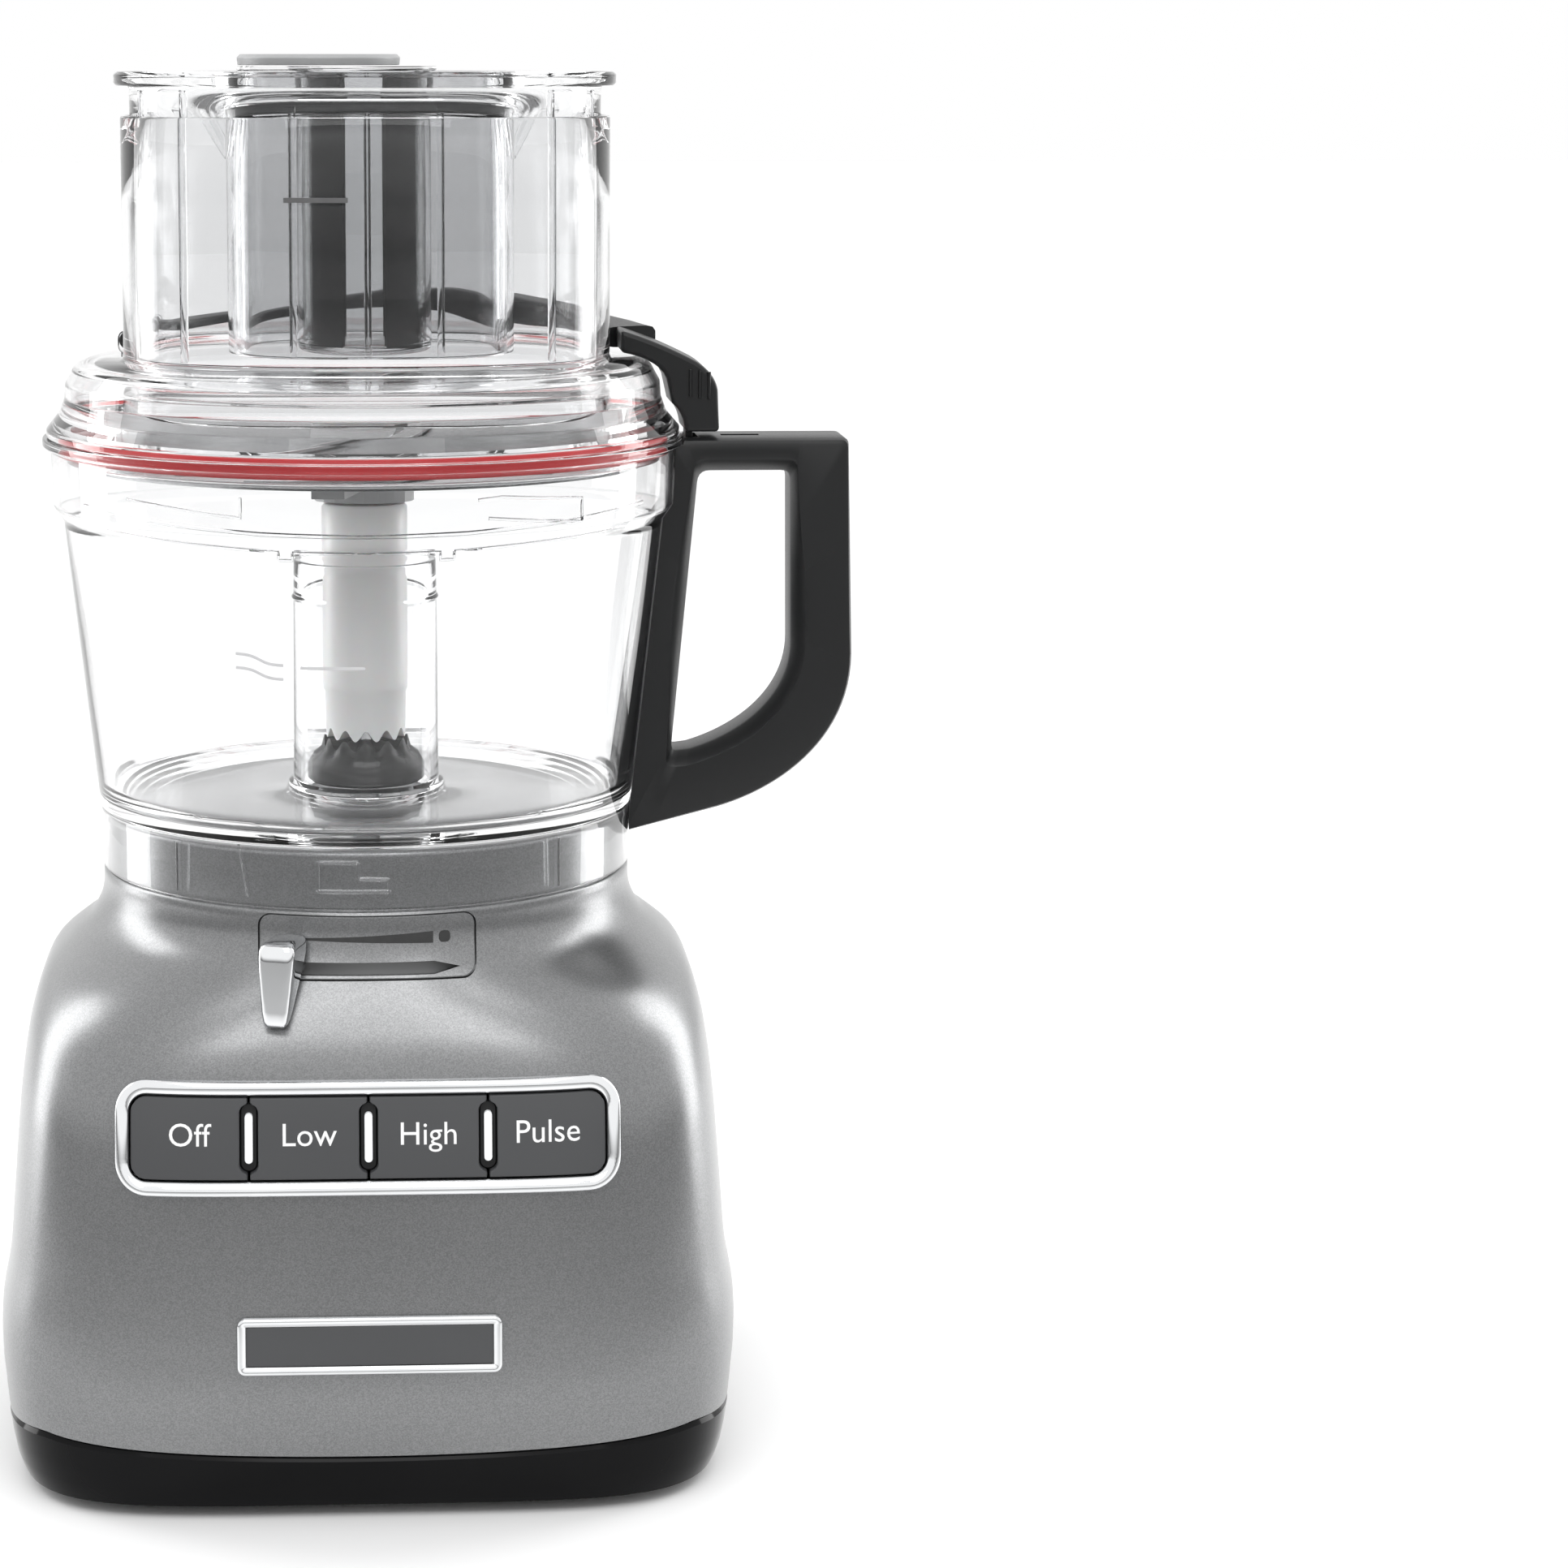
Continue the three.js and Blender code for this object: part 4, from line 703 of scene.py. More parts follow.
foot_corner, rim_corner = reach("bowl")
SKIRT_Z = foot_corner.z
RIM_Z = rim_corner.z
RIM_R = rim_corner.x
FLOOR = SKIRT_Z + 22
FLOOR_UNDER = FLOOR - 2.8
CHIMNEY_R = 22.3
CHIMNEY_TOP = FLOOR_UNDER + 75
COLLAR_R = RIM_R - 3.2
UNDER_COLLAR_R = RIM_R - 6.3
STEP_Z = RIM_Z - 21
WALL = 2.2
bowl_profile = fillet([
    (CHIMNEY_R - 2, FLOOR_UNDER, 0), (CHIMNEY_R - 2, CHIMNEY_TOP, 0.7), (CHIMNEY_R, CHIMNEY_TOP, 0.7),
    (CHIMNEY_R + 0.2, CHIMNEY_TOP - 11, 0.3), (CHIMNEY_R + 0.9, CHIMNEY_TOP - 12, 0.5),
    (CHIMNEY_R + 0.2, CHIMNEY_TOP - 13, 0.3), (CHIMNEY_R + 0.6, FLOOR + 2.4, 0.5),
    (CHIMNEY_R + 2.2, FLOOR + 1.4, 0.7), (CHIMNEY_R + 2.2, FLOOR, 0.4), (NECK_R - 5.6, FLOOR, 4),
    (NECK_R - 2.2, FLOOR + 4.5, 6), (UNDER_COLLAR_R - WALL, STEP_Z - 5, 5), (COLLAR_R - 1.8, STEP_Z, 3),
    (RIM_R - 4.5, RIM_Z - 0.8, 0.5), (RIM_R - 4.5, RIM_Z, 0.3), (RIM_R, RIM_Z, 0.6),
    (RIM_R, RIM_Z - 2.4, 0.6), (COLLAR_R + 0.7, RIM_Z - 3.2, 1.2), (COLLAR_R, STEP_Z, 1.0),
    (UNDER_COLLAR_R, STEP_Z - 4.5, 3), (NECK_R + 0.5, FLOOR - 6, 4), (NECK_R, SKIRT_Z, 0.4),
    (NECK_R - WALL, SKIRT_Z, 0.4), (NECK_R - WALL, FLOOR_UNDER, 1.2), (CHIMNEY_R - 2, FLOOR_UNDER, 0),
])
make_piece("bowl_moulding", turned(bowl_profile, 224), CLEAR, "bowl_unit", ["bowl"],
           crease=42)


def wall_radius(z):
    """Outside of the bowl's wall at a height between the skirt and the collar."""
    low, high = FLOOR - 6, STEP_Z - 4.5
    if z < low:
        return NECK_R + 0.4 * (z - SKIRT_Z) / (low - SKIRT_Z)
    if z < high:
        return NECK_R + 0.5 + (UNDER_COLLAR_R - NECK_R - 0.5) * (z - low) / (high - low)
    return COLLAR_R + 0.7 * max(0.0, (z - STEP_Z) / 18)


def on_wall(x, z, out=0.0):
    radius = wall_radius(z) + out
    return x, -math.sqrt(max(radius**2 - x * x, 1.0)), z


def relief(line, width, out=1.1, sunk=0.6):
    """A raised bar along a line of (x, z) points on the front of the bowl's wall."""
    rings = []
    fine = []
    for (x0, z0), (x1, z1) in zip(line, line[1:]):
        steps = max(2, int(math.hypot(x1 - x0, z1 - z0) / 2))
        fine += [(x0 + (x1 - x0) * k / steps, z0 + (z1 - z0) * k / steps) for k in range(steps)]
    fine.append(line[-1])
    for i, (x, z) in enumerate(fine):
        x0, z0 = fine[max(i - 1, 0)]
        x1, z1 = fine[min(i + 1, len(fine) - 1)]
        run = math.hypot(x1 - x0, z1 - z0)
        side_x, side_z = -(z1 - z0) / run * width / 2, (x1 - x0) / run * width / 2
        section = [(1, -sunk), (1, out * 0.6), (0.6, out), (-0.6, out), (-1, out * 0.6), (-1, -sunk)]
        rings.append([on_wall(x + side_x * s, z + side_z * s, d) for s, d in section])
    return loft(rings)


RELIEFS = {
    "skirt_lug_foot": ([(-14.5, 184.6), (6.5, 184.6)], 1.1),
    "skirt_lug_side": ([(-14.5, 184.6), (-14.5, 193.4), (-2.5, 193.4)], 1.1),
    "skirt_lug_stop": ([(6.5, 184.6), (6.5, 188.2), (-2.5, 188.6), (-2.5, 193.4)], 1.1),
    "skirt_rib_left": ([(-57, 181), (-57, 196)], 0.9),
    "skirt_rib_right": ([(58, 181), (58, 196)], 0.9),
    "skirt_rib_slant": ([(-38, 197.5), (-35.5, 182)], 0.7),
    "collar_step": ([(-84, 296.4), (-60, 294.0), (-30, 292.5), (0, 292.0), (30, 292.5), (60, 294.0),
                     (84, 296.4)], 1.2),
    "collar_foot_left": ([(-78, 290.0), (-52, 288.6), (-25, 287.4), (-25, 284.6), (-21, 284.6),
                          (-21, 287.3)], 0.9),
    "collar_foot_middle": ([(-21, 287.3), (0, 287.0), (22, 287.3), (22, 284.6), (26, 284.6),
                            (26, 287.4)], 0.9),
    "collar_foot_right": ([(26, 287.4), (52, 288.6), (78, 290.0)], 0.9),
    "lid_lug_top": ([(33, 302), (40, 302.6), (64, 300.5), (64, 293.5), (36, 296.5)], 1.0),
    "lid_lug_left": ([(-36, 303), (-36, 297), (-70, 300)], 1.0),
}
for name, (line, width) in RELIEFS.items():
    make_piece(name, relief(line, width), CLEAR, "bowl_unit")

MARK_GREY = Finish("printed_grey")
MARK_GREY.colour(MARK_GREY.noise(300.0), (0.55, 0.55, 0.56), (0.66, 0.66, 0.67), 0.5)
BOWL_MARK_Z = 252.5
make_piece("fill_line", relief([(-19.0, BOWL_MARK_Z), (-0.1, BOWL_MARK_Z)], 1.0, 0.1, -0.03), MARK_GREY,
           "bowl_unit")
for k in (0, 1):
    ripple = [(-38 + 1.0 * i, BOWL_MARK_Z + 2.1 - 4.2 * k - 1.5 * math.tanh((i - 7) / 3.0))
              for i in range(15)]
    make_piece(f"fill_ripple_{k + 1}", relief(ripple, 0.9, 0.1, -0.03), MARK_GREY, "bowl_unit")

# ---- Bowl handle ----
# Satin dark plastic, snapped over the bowl's wall and collar. The outer face is flat, the finger
# space is bevelled, and the slot beside the rim takes the lid latch's tongue.

grip_high = reach("bowl_handle")[1]
HANDLE_TOP = grip_high.z
HANDLE_OUT = grip_high.x
HALF_WIDE = grip_high.y
FOOT_Z = FLOOR - 13


def bezier(p0, p1, p2, p3, steps=24):
    return [tuple((1 - t) ** 3 * a + 3 * t * (1 - t) ** 2 * b + 3 * t * t * (1 - t) * c + t**3 * d
                  for a, b, c, d in zip(p0, p1, p2, p3)) for t in (k / steps for k in range(steps + 1))]


outer_line = fillet([(NECK_R - 2, FOOT_Z, 0), (RIM_R - 8, HANDLE_TOP, 0.5),
                     (HANDLE_OUT - 1.6, HANDLE_TOP, 2.2), (HANDLE_OUT, HANDLE_TOP - 68, 0)], 4)
outer_line += bezier((HANDLE_OUT, HANDLE_TOP - 68), (HANDLE_OUT, FOOT_Z + 28),
                     (HANDLE_OUT - 24, FOOT_Z + 12), (NECK_R + 25, FOOT_Z + 7))
hole_low, hole_high = FLOOR + 12, HANDLE_TOP - 10.5
slope = (RIM_R - NECK_R) / (RIM_Z - FLOOR) * 0.62
hole_out = HANDLE_OUT - 19


def hole_in(z):
    return NECK_R + 12 + slope * (z - FLOOR)


inner_line = fillet([(hole_in(hole_low) + 6, hole_low + 0.8, 0), (hole_in(hole_low + 1), hole_low, 2),
                     (hole_in(hole_high), hole_high, 4), (hole_out - 0.5, hole_high, 3),
                     (hole_out, hole_high - 54, 0)], 5)
inner_line += bezier((hole_out, hole_high - 54), (hole_out, hole_low + 18),
                     (hole_out - 14, hole_low + 6), (hole_in(hole_low) + 6, hole_low + 0.8))
HUB = Vector((118.0, FLOOR + 58.0))


def ray_to(line, angle):
    """Distance from the hub to a closed line, along an angle."""
    d = Vector((math.cos(angle), math.sin(angle)))
    best = 0.0
    for a, b in zip(line, line[1:] + line[:1]):
        a, b = Vector(a) - HUB, Vector(b) - HUB
        e = b - a
        det = d.x * -e.y + e.x * d.y
        if abs(det) < 1e-9:
            continue
        t = (a.x * -e.y + e.x * a.y) / det
        u = (d.x * a.y - d.y * a.x) / det
        if t > 0 and -1e-6 <= u <= 1 + 1e-6:
            best = max(best, t)
    return best


angles = sorted({round(math.atan2(z - HUB.y, x - HUB.x), 4) for x, z in outer_line + inner_line}
                | {round(math.pi * k / 90 - math.pi, 4) for k in range(180)})
angles = [a for i, a in enumerate(angles) if i == 0 or a - angles[i - 1] > 0.004]
handle_rings = []
for angle in angles:
    near, far = ray_to(inner_line, angle), ray_to(outer_line, angle)
    cut = min(4.2, (far - near) * 0.35)
    round_off = min(2.4, (far - near) * 0.2)
    half_section = [(near, HALF_WIDE - 6.5), (near + 0.4, HALF_WIDE - 5.2),
                    (near + cut, HALF_WIDE - 0.5), (near + cut + 0.7, HALF_WIDE),
                    (far - round_off, HALF_WIDE), (far - round_off * 0.3, HALF_WIDE - round_off * 0.3),
                    (far, HALF_WIDE - round_off)]
    section = [(r, -y) for r, y in half_section] + [(r, y) for r, y in reversed(half_section)]
    c, s = math.cos(angle), math.sin(angle)
    handle_rings.append([(HUB.x + r * c, y, HUB.y + r * s) for r, y in section])
envelope = [(0.0, SKIRT_Z - 5), (NECK_R + 0.3, SKIRT_Z - 5), (NECK_R + 0.8, FLOOR - 6),
            (UNDER_COLLAR_R + 0.3, STEP_Z - 4.5), (COLLAR_R + 0.3, STEP_Z), (COLLAR_R + 1, RIM_Z - 3),
            (RIM_R + 0.3, RIM_Z - 2.6), (RIM_R + 0.3, RIM_Z + 5), (0.0, RIM_Z + 5)]
bowl_envelope = loft([oval(max(r, 0.01), max(r, 0.01), 2, z, 160) for r, z in envelope])


def block(x0, x1, y0, y1, z0, z1):
    return loft([[(x, y0, z0), (x, y1, z0), (x, y1, z1), (x, y0, z1)] for x in (x0, x1)])


latch_slot = block(RIM_R - 2.8, RIM_R + 4.4, -7, 7, HANDLE_TOP - 11, HANDLE_TOP + 2)
top_window = block(RIM_R + 12, RIM_R + 24, -2.2, 2.2, HANDLE_TOP - 2, HANDLE_TOP + 2)
make_piece("handle_grip", loft(handle_rings, closed=True), DARK, "bowl_unit",
           ["bowl_handle"], [bowl_envelope, latch_slot, top_window], crease=38)

# ---- Lid and feed tube ----
# One clear moulding: a shallow dome with a rounded shoulder and, a little in front of its middle, the
# wide oval feed tube. A red silicone ring is stretched round the lip that dips into the bowl.

LID_CLEAR = clear_finish("clear_lid_plastic", (0.935, 0.937, 0.94), 0.012, 0.10, 0.45)
tube_lo, tube_hi = reach("feed_tube")
TUBE_TOP = tube_hi.z
TUBE_X = (tube_hi.x + tube_lo.x) / 2
TUBE_Y = (tube_hi.y + tube_lo.y) / 2
TUBE_HALF_X = (tube_hi.x - tube_lo.x) / 2
TUBE_HALF_Y = (tube_hi.y - tube_lo.y) / 2
LID_TOP = RIM_Z + 25
LIP_R = RIM_R - 7.8
shoulder = RIM_R - 7
edge = RIM_R - 1.3
LID_SIDES = 224
TUBE_SQUARE = 2.4


def tube_ring(grow, z):
    return oval(TUBE_HALF_X + grow, TUBE_HALF_Y + grow, TUBE_SQUARE, z, LID_SIDES, TUBE_X, TUBE_Y)


def stacked(ring, *rows):
    """One ring for each (growth, height)."""
    return [ring(grow, z) for grow, z in rows]


dome_out = fillet([
    (RIM_R - 4.5, RIM_Z + 1.8, 0), (RIM_R - 4.5, RIM_Z + 0.4, 0.2), (edge, RIM_Z + 0.4, 0.4),
    (edge, RIM_Z + 2.6, 0.8), (edge - 4, RIM_Z + 7.6, 2.5), (shoulder, RIM_Z + 12, 2.5),
    (shoulder - 0.4, LID_TOP - 8, 3), (shoulder - 3.4, LID_TOP - 2.6, 3),
    (shoulder - 7.2, LID_TOP - 1.2, 0),
])
dome_in = fillet([
    (shoulder - 7.6, LID_TOP - 3.4, 0), (shoulder - 4.6, LID_TOP - 5.4, 2),
    (shoulder - 2.6, LID_TOP - 9, 2), (shoulder - 2.2, LID_TOP - 13, 2), (LIP_R - 1.9, RIM_Z + 4, 2),
    (LIP_R - 1.9, RIM_Z - 6.5, 0.5), (LIP_R, RIM_Z - 6.5, 0.5), (LIP_R, RIM_Z + 1.8, 0),
])
lid_rings = [oval(r, r, 2, z, LID_SIDES) for r, z in dome_out]
lid_rings += stacked(
    tube_ring, (1.4, LID_TOP - 0.1), (0.4, LID_TOP + 0.5), (0, LID_TOP + 1.8), (0, LID_TOP + 24),
    (0, LID_TOP + 48), (0, TUBE_TOP - 0.8), (-0.4, TUBE_TOP - 0.15), (-1.1, TUBE_TOP),
    (-1.8, TUBE_TOP - 0.15), (-WALL, TUBE_TOP - 0.8), (-WALL, LID_TOP + 48), (-WALL, LID_TOP + 24),
    (-WALL, LID_TOP - 1.6), (-WALL, LID_TOP - 19.4), (-1.1, LID_TOP - 20), (0, LID_TOP - 19.4),
    (0, LID_TOP - 4.4), (0.8, LID_TOP - 3.2))
lid_rings += [oval(r, r, 2, z, LID_SIDES) for r, z in dome_in]
make_piece("lid_moulding", loft(lid_rings, closed=True), LID_CLEAR, "lid_unit",
           ["lid", "feed_tube"], crease=44)

PIVOT_X, PIVOT_Y, PIVOT_Z = -0.742 * RIM_R, 0.25 * RIM_R, LID_TOP + 2.9
for side, word in ((-1, "front"), (1, "rear")):
    near = PIVOT_Y + side * 6.4 - 1.5
    lug = rod(oval(3.2, 3.6, 3, 0, 32, PIVOT_X), PIVOT_Z - 0.4, (near, near + 3))
    make_piece(f"latch_lug_{word}", lug, LID_CLEAR, "lid_unit", bevel=0.4)


def tube_front(x, inset=0.0):
    """How far forward the feed tube reaches, or an oval set inside it."""
    share = min(abs((x - TUBE_X) / (TUBE_HALF_X - inset)), 0.999)
    return TUBE_Y - (TUBE_HALF_Y - inset) * (1 - share**TUBE_SQUARE) ** (1 / TUBE_SQUARE)


def tube_bar(x0, x1, z, high, out, back):
    steps = 12
    rings = []
    for k in range(steps + 1):
        x = x0 + (x1 - x0) * k / steps
        section = ((-0.5, back), (0.5, back), (0.5, out), (-0.5, out))
        rings.append([(x, tube_front(x) - d, z + high * s) for s, d in section])
    return loft(rings)


DEEP_GREY = Finish("printed_dark_grey")
DEEP_GREY.colour(DEEP_GREY.noise(300.0), (0.09, 0.09, 0.092), (0.13, 0.13, 0.132), 0.5)
TUBE_MARK_Z = 388.0
make_piece("max_line", tube_bar(-23.0, -4.2, TUBE_MARK_Z, 1.5, 0.12, 0.03), DEEP_GREY, "lid_unit",
           bevel=0.02)

RED = Finish("red_seal", Specular_IOR_Level=0.5)
patch = RED.noise(20.0)
RED.colour(patch, (0.38, 0.003, 0.006), (0.46, 0.006, 0.011), 0.3, 0.12)
RED.grain(RED.noise(700.0), 0.04, 0.0001)
seal_lo, seal_hi = reach("lid_seal")
seal_profile = fillet([
    (LIP_R + 0.3, seal_lo.z, 0), (seal_hi.x - 1.0, seal_lo.z, 0.8), (seal_hi.x, seal_lo.z + 1.6, 1.2),
    (seal_hi.x, seal_hi.z - 1.6, 1.2), (seal_hi.x - 1.0, seal_hi.z, 0.8), (LIP_R + 0.3, seal_hi.z, 0),
])
make_piece("seal_ring", turned(seal_profile, 192), RED, "lid_unit", ["lid_seal"])

# ---- Lid latch ----
# A satin dark arm hinged on a steel pin at the left of the lid. It arches over the dome behind the feed
# tube, and its head hooks down over the rim, with a tongue that drops into the handle's slot.

ARM_ROWS = [(161, 0.764, 1, 4.8, 3.8), (155.8, 0.709, 1, 4.8, 3.8), (145, 0.698, 1.2, 5.2, 4),
            (130, 0.682, 2.6, 6.6, 4), (111, 0.658, 4.6, 9, 4.2), (88, 0.652, 6.5, 13, 4.8),
            (67.6, 0.682, 6.5, 16.4, 5.4), (51.8, 0.712, 2.5, 15.4, 6.4), (36.3, 0.746, 0.9, 12.2, 7.4),
            (21.4, 0.797, 0.9, 9.6, 8.4), (8.1, 0.851, 0.9, 7.4, 9.6)]
HEAD_X = RIM_R - 20.2
stations = []
for degrees, share, low, high, half in ARM_ROWS:
    turn = math.radians(degrees)
    stations.append([share * RIM_R * math.cos(turn), share * RIM_R * math.sin(turn), low, high, half])
stations[-1][:2] = [HEAD_X + 4.5, 12.0]


def through(rows, i, t):
    """A smooth value between rows i and i + 1."""
    a, b = rows[i], rows[i + 1]
    before, after = rows[max(i - 1, 0)], rows[min(i + 2, len(rows) - 1)]
    return [0.5 * (2 * q + (s - p) * t + (2 * p - 5 * q + 4 * s - r) * t**2
                   + (3 * q - p - 3 * s + r) * t**3)
            for p, q, s, r in zip(before, a, b, after)]


fine_rows = [through(stations, i, k / 8) for i in range(len(stations) - 1)
             for k in range(8)] + [stations[-1]]
arm_rings = []
for i, (x, y, low, high, half) in enumerate(fine_rows):
    x0, y0 = fine_rows[max(i - 1, 0)][:2]
    x1, y1 = fine_rows[min(i + 1, len(fine_rows) - 1)][:2]
    run = math.hypot(x1 - x0, y1 - y0)
    side_x, side_y = (y1 - y0) / run, -(x1 - x0) / run
    low, high = max(low, 0.9), max(high, low + 3)
    ring = oval(half, (high - low) / 2, 5, 0, 40, 0, LID_TOP + (low + high) / 2)
    arm_rings.append([(x + side_x * a, y + side_y * a, b) for a, b, _ in ring])
make_piece("latch_arch", loft(arm_rings), DARK, "latch", ["latch_arm"], crease=50)
TIP = RIM_R + 10.6
HEAD_FOOT = RIM_Z + 1.1


def curve2(p0, p1, p2, steps=8):
    return [((1 - t) ** 2 * p0[0] + 2 * t * (1 - t) * p1[0] + t * t * p2[0],
             (1 - t) ** 2 * p0[1] + 2 * t * (1 - t) * p1[1] + t * t * p2[1])
            for t in (k / steps for k in range(steps))]


head = [(TIP, HEAD_FOOT)]
head += curve2((TIP - 0.5, HEAD_FOOT + 13), (TIP - 1.5, HEAD_FOOT + 18.5), (TIP - 7.5, HEAD_FOOT + 22))
head += curve2((TIP - 7.5, HEAD_FOOT + 22), (TIP - 20, HEAD_FOOT + 28.5), (HEAD_X, LID_TOP + 7.7))
head += [(HEAD_X, LID_TOP + 7.7)]
head += curve2((HEAD_X, LID_TOP + 0.9), (RIM_R - 6.7, LID_TOP - 1.5), (RIM_R - 5.4, LID_TOP - 9))
head += curve2((RIM_R - 4.2, HEAD_FOOT + 9), (RIM_R - 0.4, HEAD_FOOT + 6), (RIM_R - 0.1, HEAD_FOOT))
head += [(RIM_R - 0.1, HEAD_FOOT)]
make_piece("latch_head", rod(head, 0, (-12, 13)), DARK, "latch", bevel=1.3)
make_piece("latch_tongue", block(RIM_R + 0.6, RIM_R + 2.8, -5, 5, HANDLE_TOP - 3.2, RIM_Z + 3), DARK,
           "latch", bevel=0.4)
knuckle = rod(oval(2.9, 2.9, 2, 0, 40, PIVOT_X), PIVOT_Z, (PIVOT_Y - 4.4, PIVOT_Y + 4.4))
make_piece("latch_knuckle", knuckle, DARK, "latch", bevel=0.3)
for k in range(3):
    x = 101.2 + 2.9 * k
    top = HEAD_FOOT + 19.5 - 0.4 * k
    ridge = loft([oval(0.55, 0.8, 2.5, z, 16, x, -11.9) for z in (top - 8.5, top - 8, top - 0.5, top)])
    make_piece(f"latch_ridge_{k + 1}", ridge, DARK, "latch", bevel=0.15)

STEEL = Finish("brushed_steel", Metallic=1.0)
streak = STEEL.add("ShaderNodeMapping", None, {"Vector": STEEL.place, "Scale": (30.0, 1400.0, 60.0)})
lines = STEEL.add("ShaderNodeTexNoise", None, {"Vector": streak, "Scale": 1.0, "Detail": 3.0})
STEEL.colour(lines, (0.40, 0.405, 0.41), (0.52, 0.525, 0.53), 0.16, 0.14)
STEEL.grain(lines, 0.04, 0.0001)
dress("latch_pin", STEEL)

# ---- Pushers ----
# Three clear pushers nest in the feed tube: the wide one with its flange and a square-oval sleeve, the
# middle one with a dark band under its rim, and a small round cup with smoked sides and a grey cap.

large_lo, large_hi = reach("pusher_large")
PUSH_FLOOR = large_lo.z
PUSH_TOP = large_hi.z
SLEEVE_X = 2.5
SLEEVE_HALF_X = TUBE_HALF_X * 0.587
SLEEVE_HALF_Y = TUBE_HALF_Y * 0.536


def sleeve_ring(grow, z, count=160):
    return oval(SLEEVE_HALF_X + grow, SLEEVE_HALF_Y + grow, 3, z, count, SLEEVE_X, TUBE_Y)


def flange_ring(grow, z):
    """The sleeve's oval with as many points as the tube's rings, so that they join."""
    return sleeve_ring(grow, z, LID_SIDES)


wall = -WALL - 0.6
large_rings = stacked(
    tube_ring, (wall, PUSH_FLOOR + 0.6), (wall, PUSH_FLOOR + 30), (wall, PUSH_TOP - 5),
    (wall + 0.6, PUSH_TOP - 4.1), (1.2, PUSH_TOP - 4), (1.8, PUSH_TOP - 3.2), (1.8, PUSH_TOP - 0.8),
    (1.1, PUSH_TOP), (0, PUSH_TOP - 0.3), (-1.4, PUSH_TOP - 1.2))
large_rings += stacked(flange_ring, (2.6, PUSH_TOP - 1.2), (1.6, PUSH_TOP - 0.4), (1.4, PUSH_TOP - 3.9),
                       (3.2, PUSH_TOP - 4))
large_rings += stacked(
    tube_ring, (wall - 3, PUSH_TOP - 4), (wall - 2, PUSH_TOP - 6), (wall - 2, PUSH_FLOOR + 30),
    (wall - 2, PUSH_FLOOR + 0.6), (wall - 1, PUSH_FLOOR))
make_piece("large_pusher", loft(large_rings, closed=True), LID_CLEAR, "pusher_large_unit",
           ["pusher_large"], crease=40)
top = PUSH_TOP - 4.3
step = PUSH_TOP - 8
sleeve_rings = stacked(
    sleeve_ring, (0, PUSH_FLOOR + 0.3), (0, PUSH_FLOOR + 30), (0, step - 3.5), (0.6, step - 2.2),
    (3, step - 1.8), (3.4, step - 1), (3.4, top - 0.4), (3, top), (1.8, top), (1.4, top - 0.4),
    (1.4, step + 0.1), (-1.6, step), (-2, step - 0.6), (-2, PUSH_FLOOR + 30), (-2, PUSH_FLOOR + 0.3),
    (-1, PUSH_FLOOR))
make_piece("large_pusher_sleeve", loft(sleeve_rings, closed=True), LID_CLEAR, "pusher_large_unit",
           ["pusher_large_sleeve"], crease=40)
for side, word in ((-1, "left"), (1, "right")):
    near = SLEEVE_X + side * (SLEEVE_HALF_X - 0.2)
    far = TUBE_X + side * (TUBE_HALF_X - 15)
    web = [(near, top - 22), (near, top - 16.5), (far - side * 6, top), (far, top)]
    for y, name in ((TUBE_Y - 12, "front"), (TUBE_Y + 10, "rear")):
        make_piece(f"gusset_{word}_{name}", rod(web, 0, (y, y + 2.6)), LID_CLEAR, "pusher_large_unit",
                   bevel=0.4)
for k, x in enumerate((-64.5, -52.0, 55.2, 67.4)):
    rib = loft([oval(1.1, 1.5, 2.4, z, 20, x, tube_front(x, 5) + 0.7)
                for z in (PUSH_FLOOR + 1, PUSH_TOP - 5)])
    make_piece(f"wall_rib_{k + 1}", rib, LID_CLEAR, "pusher_large_unit")
for k, x in enumerate((-20.7, 1.5, 23.2)):
    rib = loft([oval(1.1, 1.4, 2.4, z, 20, x, TUBE_Y - SLEEVE_HALF_Y - 0.9)
                for z in (PUSH_FLOOR + 1, PUSH_TOP - 6)])
    make_piece(f"sleeve_rib_{k + 1}", rib, LID_CLEAR, "pusher_large_unit")

TINTED = clear_finish("tinted_clear_plastic", (0.78, 0.783, 0.787), 0.012, 0.10, 0.4)
medium_rings = stacked(
    sleeve_ring, (-2.6, PUSH_FLOOR + 0.4), (-2.6, PUSH_FLOOR + 40), (-2.6, PUSH_TOP - 8),
    (-2.4, PUSH_TOP - 7.7), (-1.2, PUSH_TOP - 7.6), (-1.2, PUSH_TOP - 3.8), (0.8, PUSH_TOP - 3.6),
    (1, PUSH_TOP - 0.5), (0.5, PUSH_TOP), (-2.4, PUSH_TOP), (-3, PUSH_TOP - 0.6), (-4.5, PUSH_TOP - 3),
    (-4.5, PUSH_FLOOR + 40), (-4.5, PUSH_FLOOR + 0.4), (-3.6, PUSH_FLOOR))
make_piece("medium_pusher", loft(medium_rings, closed=True), TINTED, "pusher_medium_unit",
           ["pusher_medium"], crease=40)
band_lo, band_hi = reach("pusher_medium_band")
band_rings = stacked(
    sleeve_ring, (-0.9, band_lo.z + 0.2), (0.7, band_lo.z), (1, band_lo.z + 0.4), (1, band_hi.z - 0.4),
    (0.7, band_hi.z), (-0.9, band_hi.z - 0.2))
make_piece("medium_band", loft(band_rings, closed=True), DARK, "pusher_medium_unit",
           ["pusher_medium_band"])

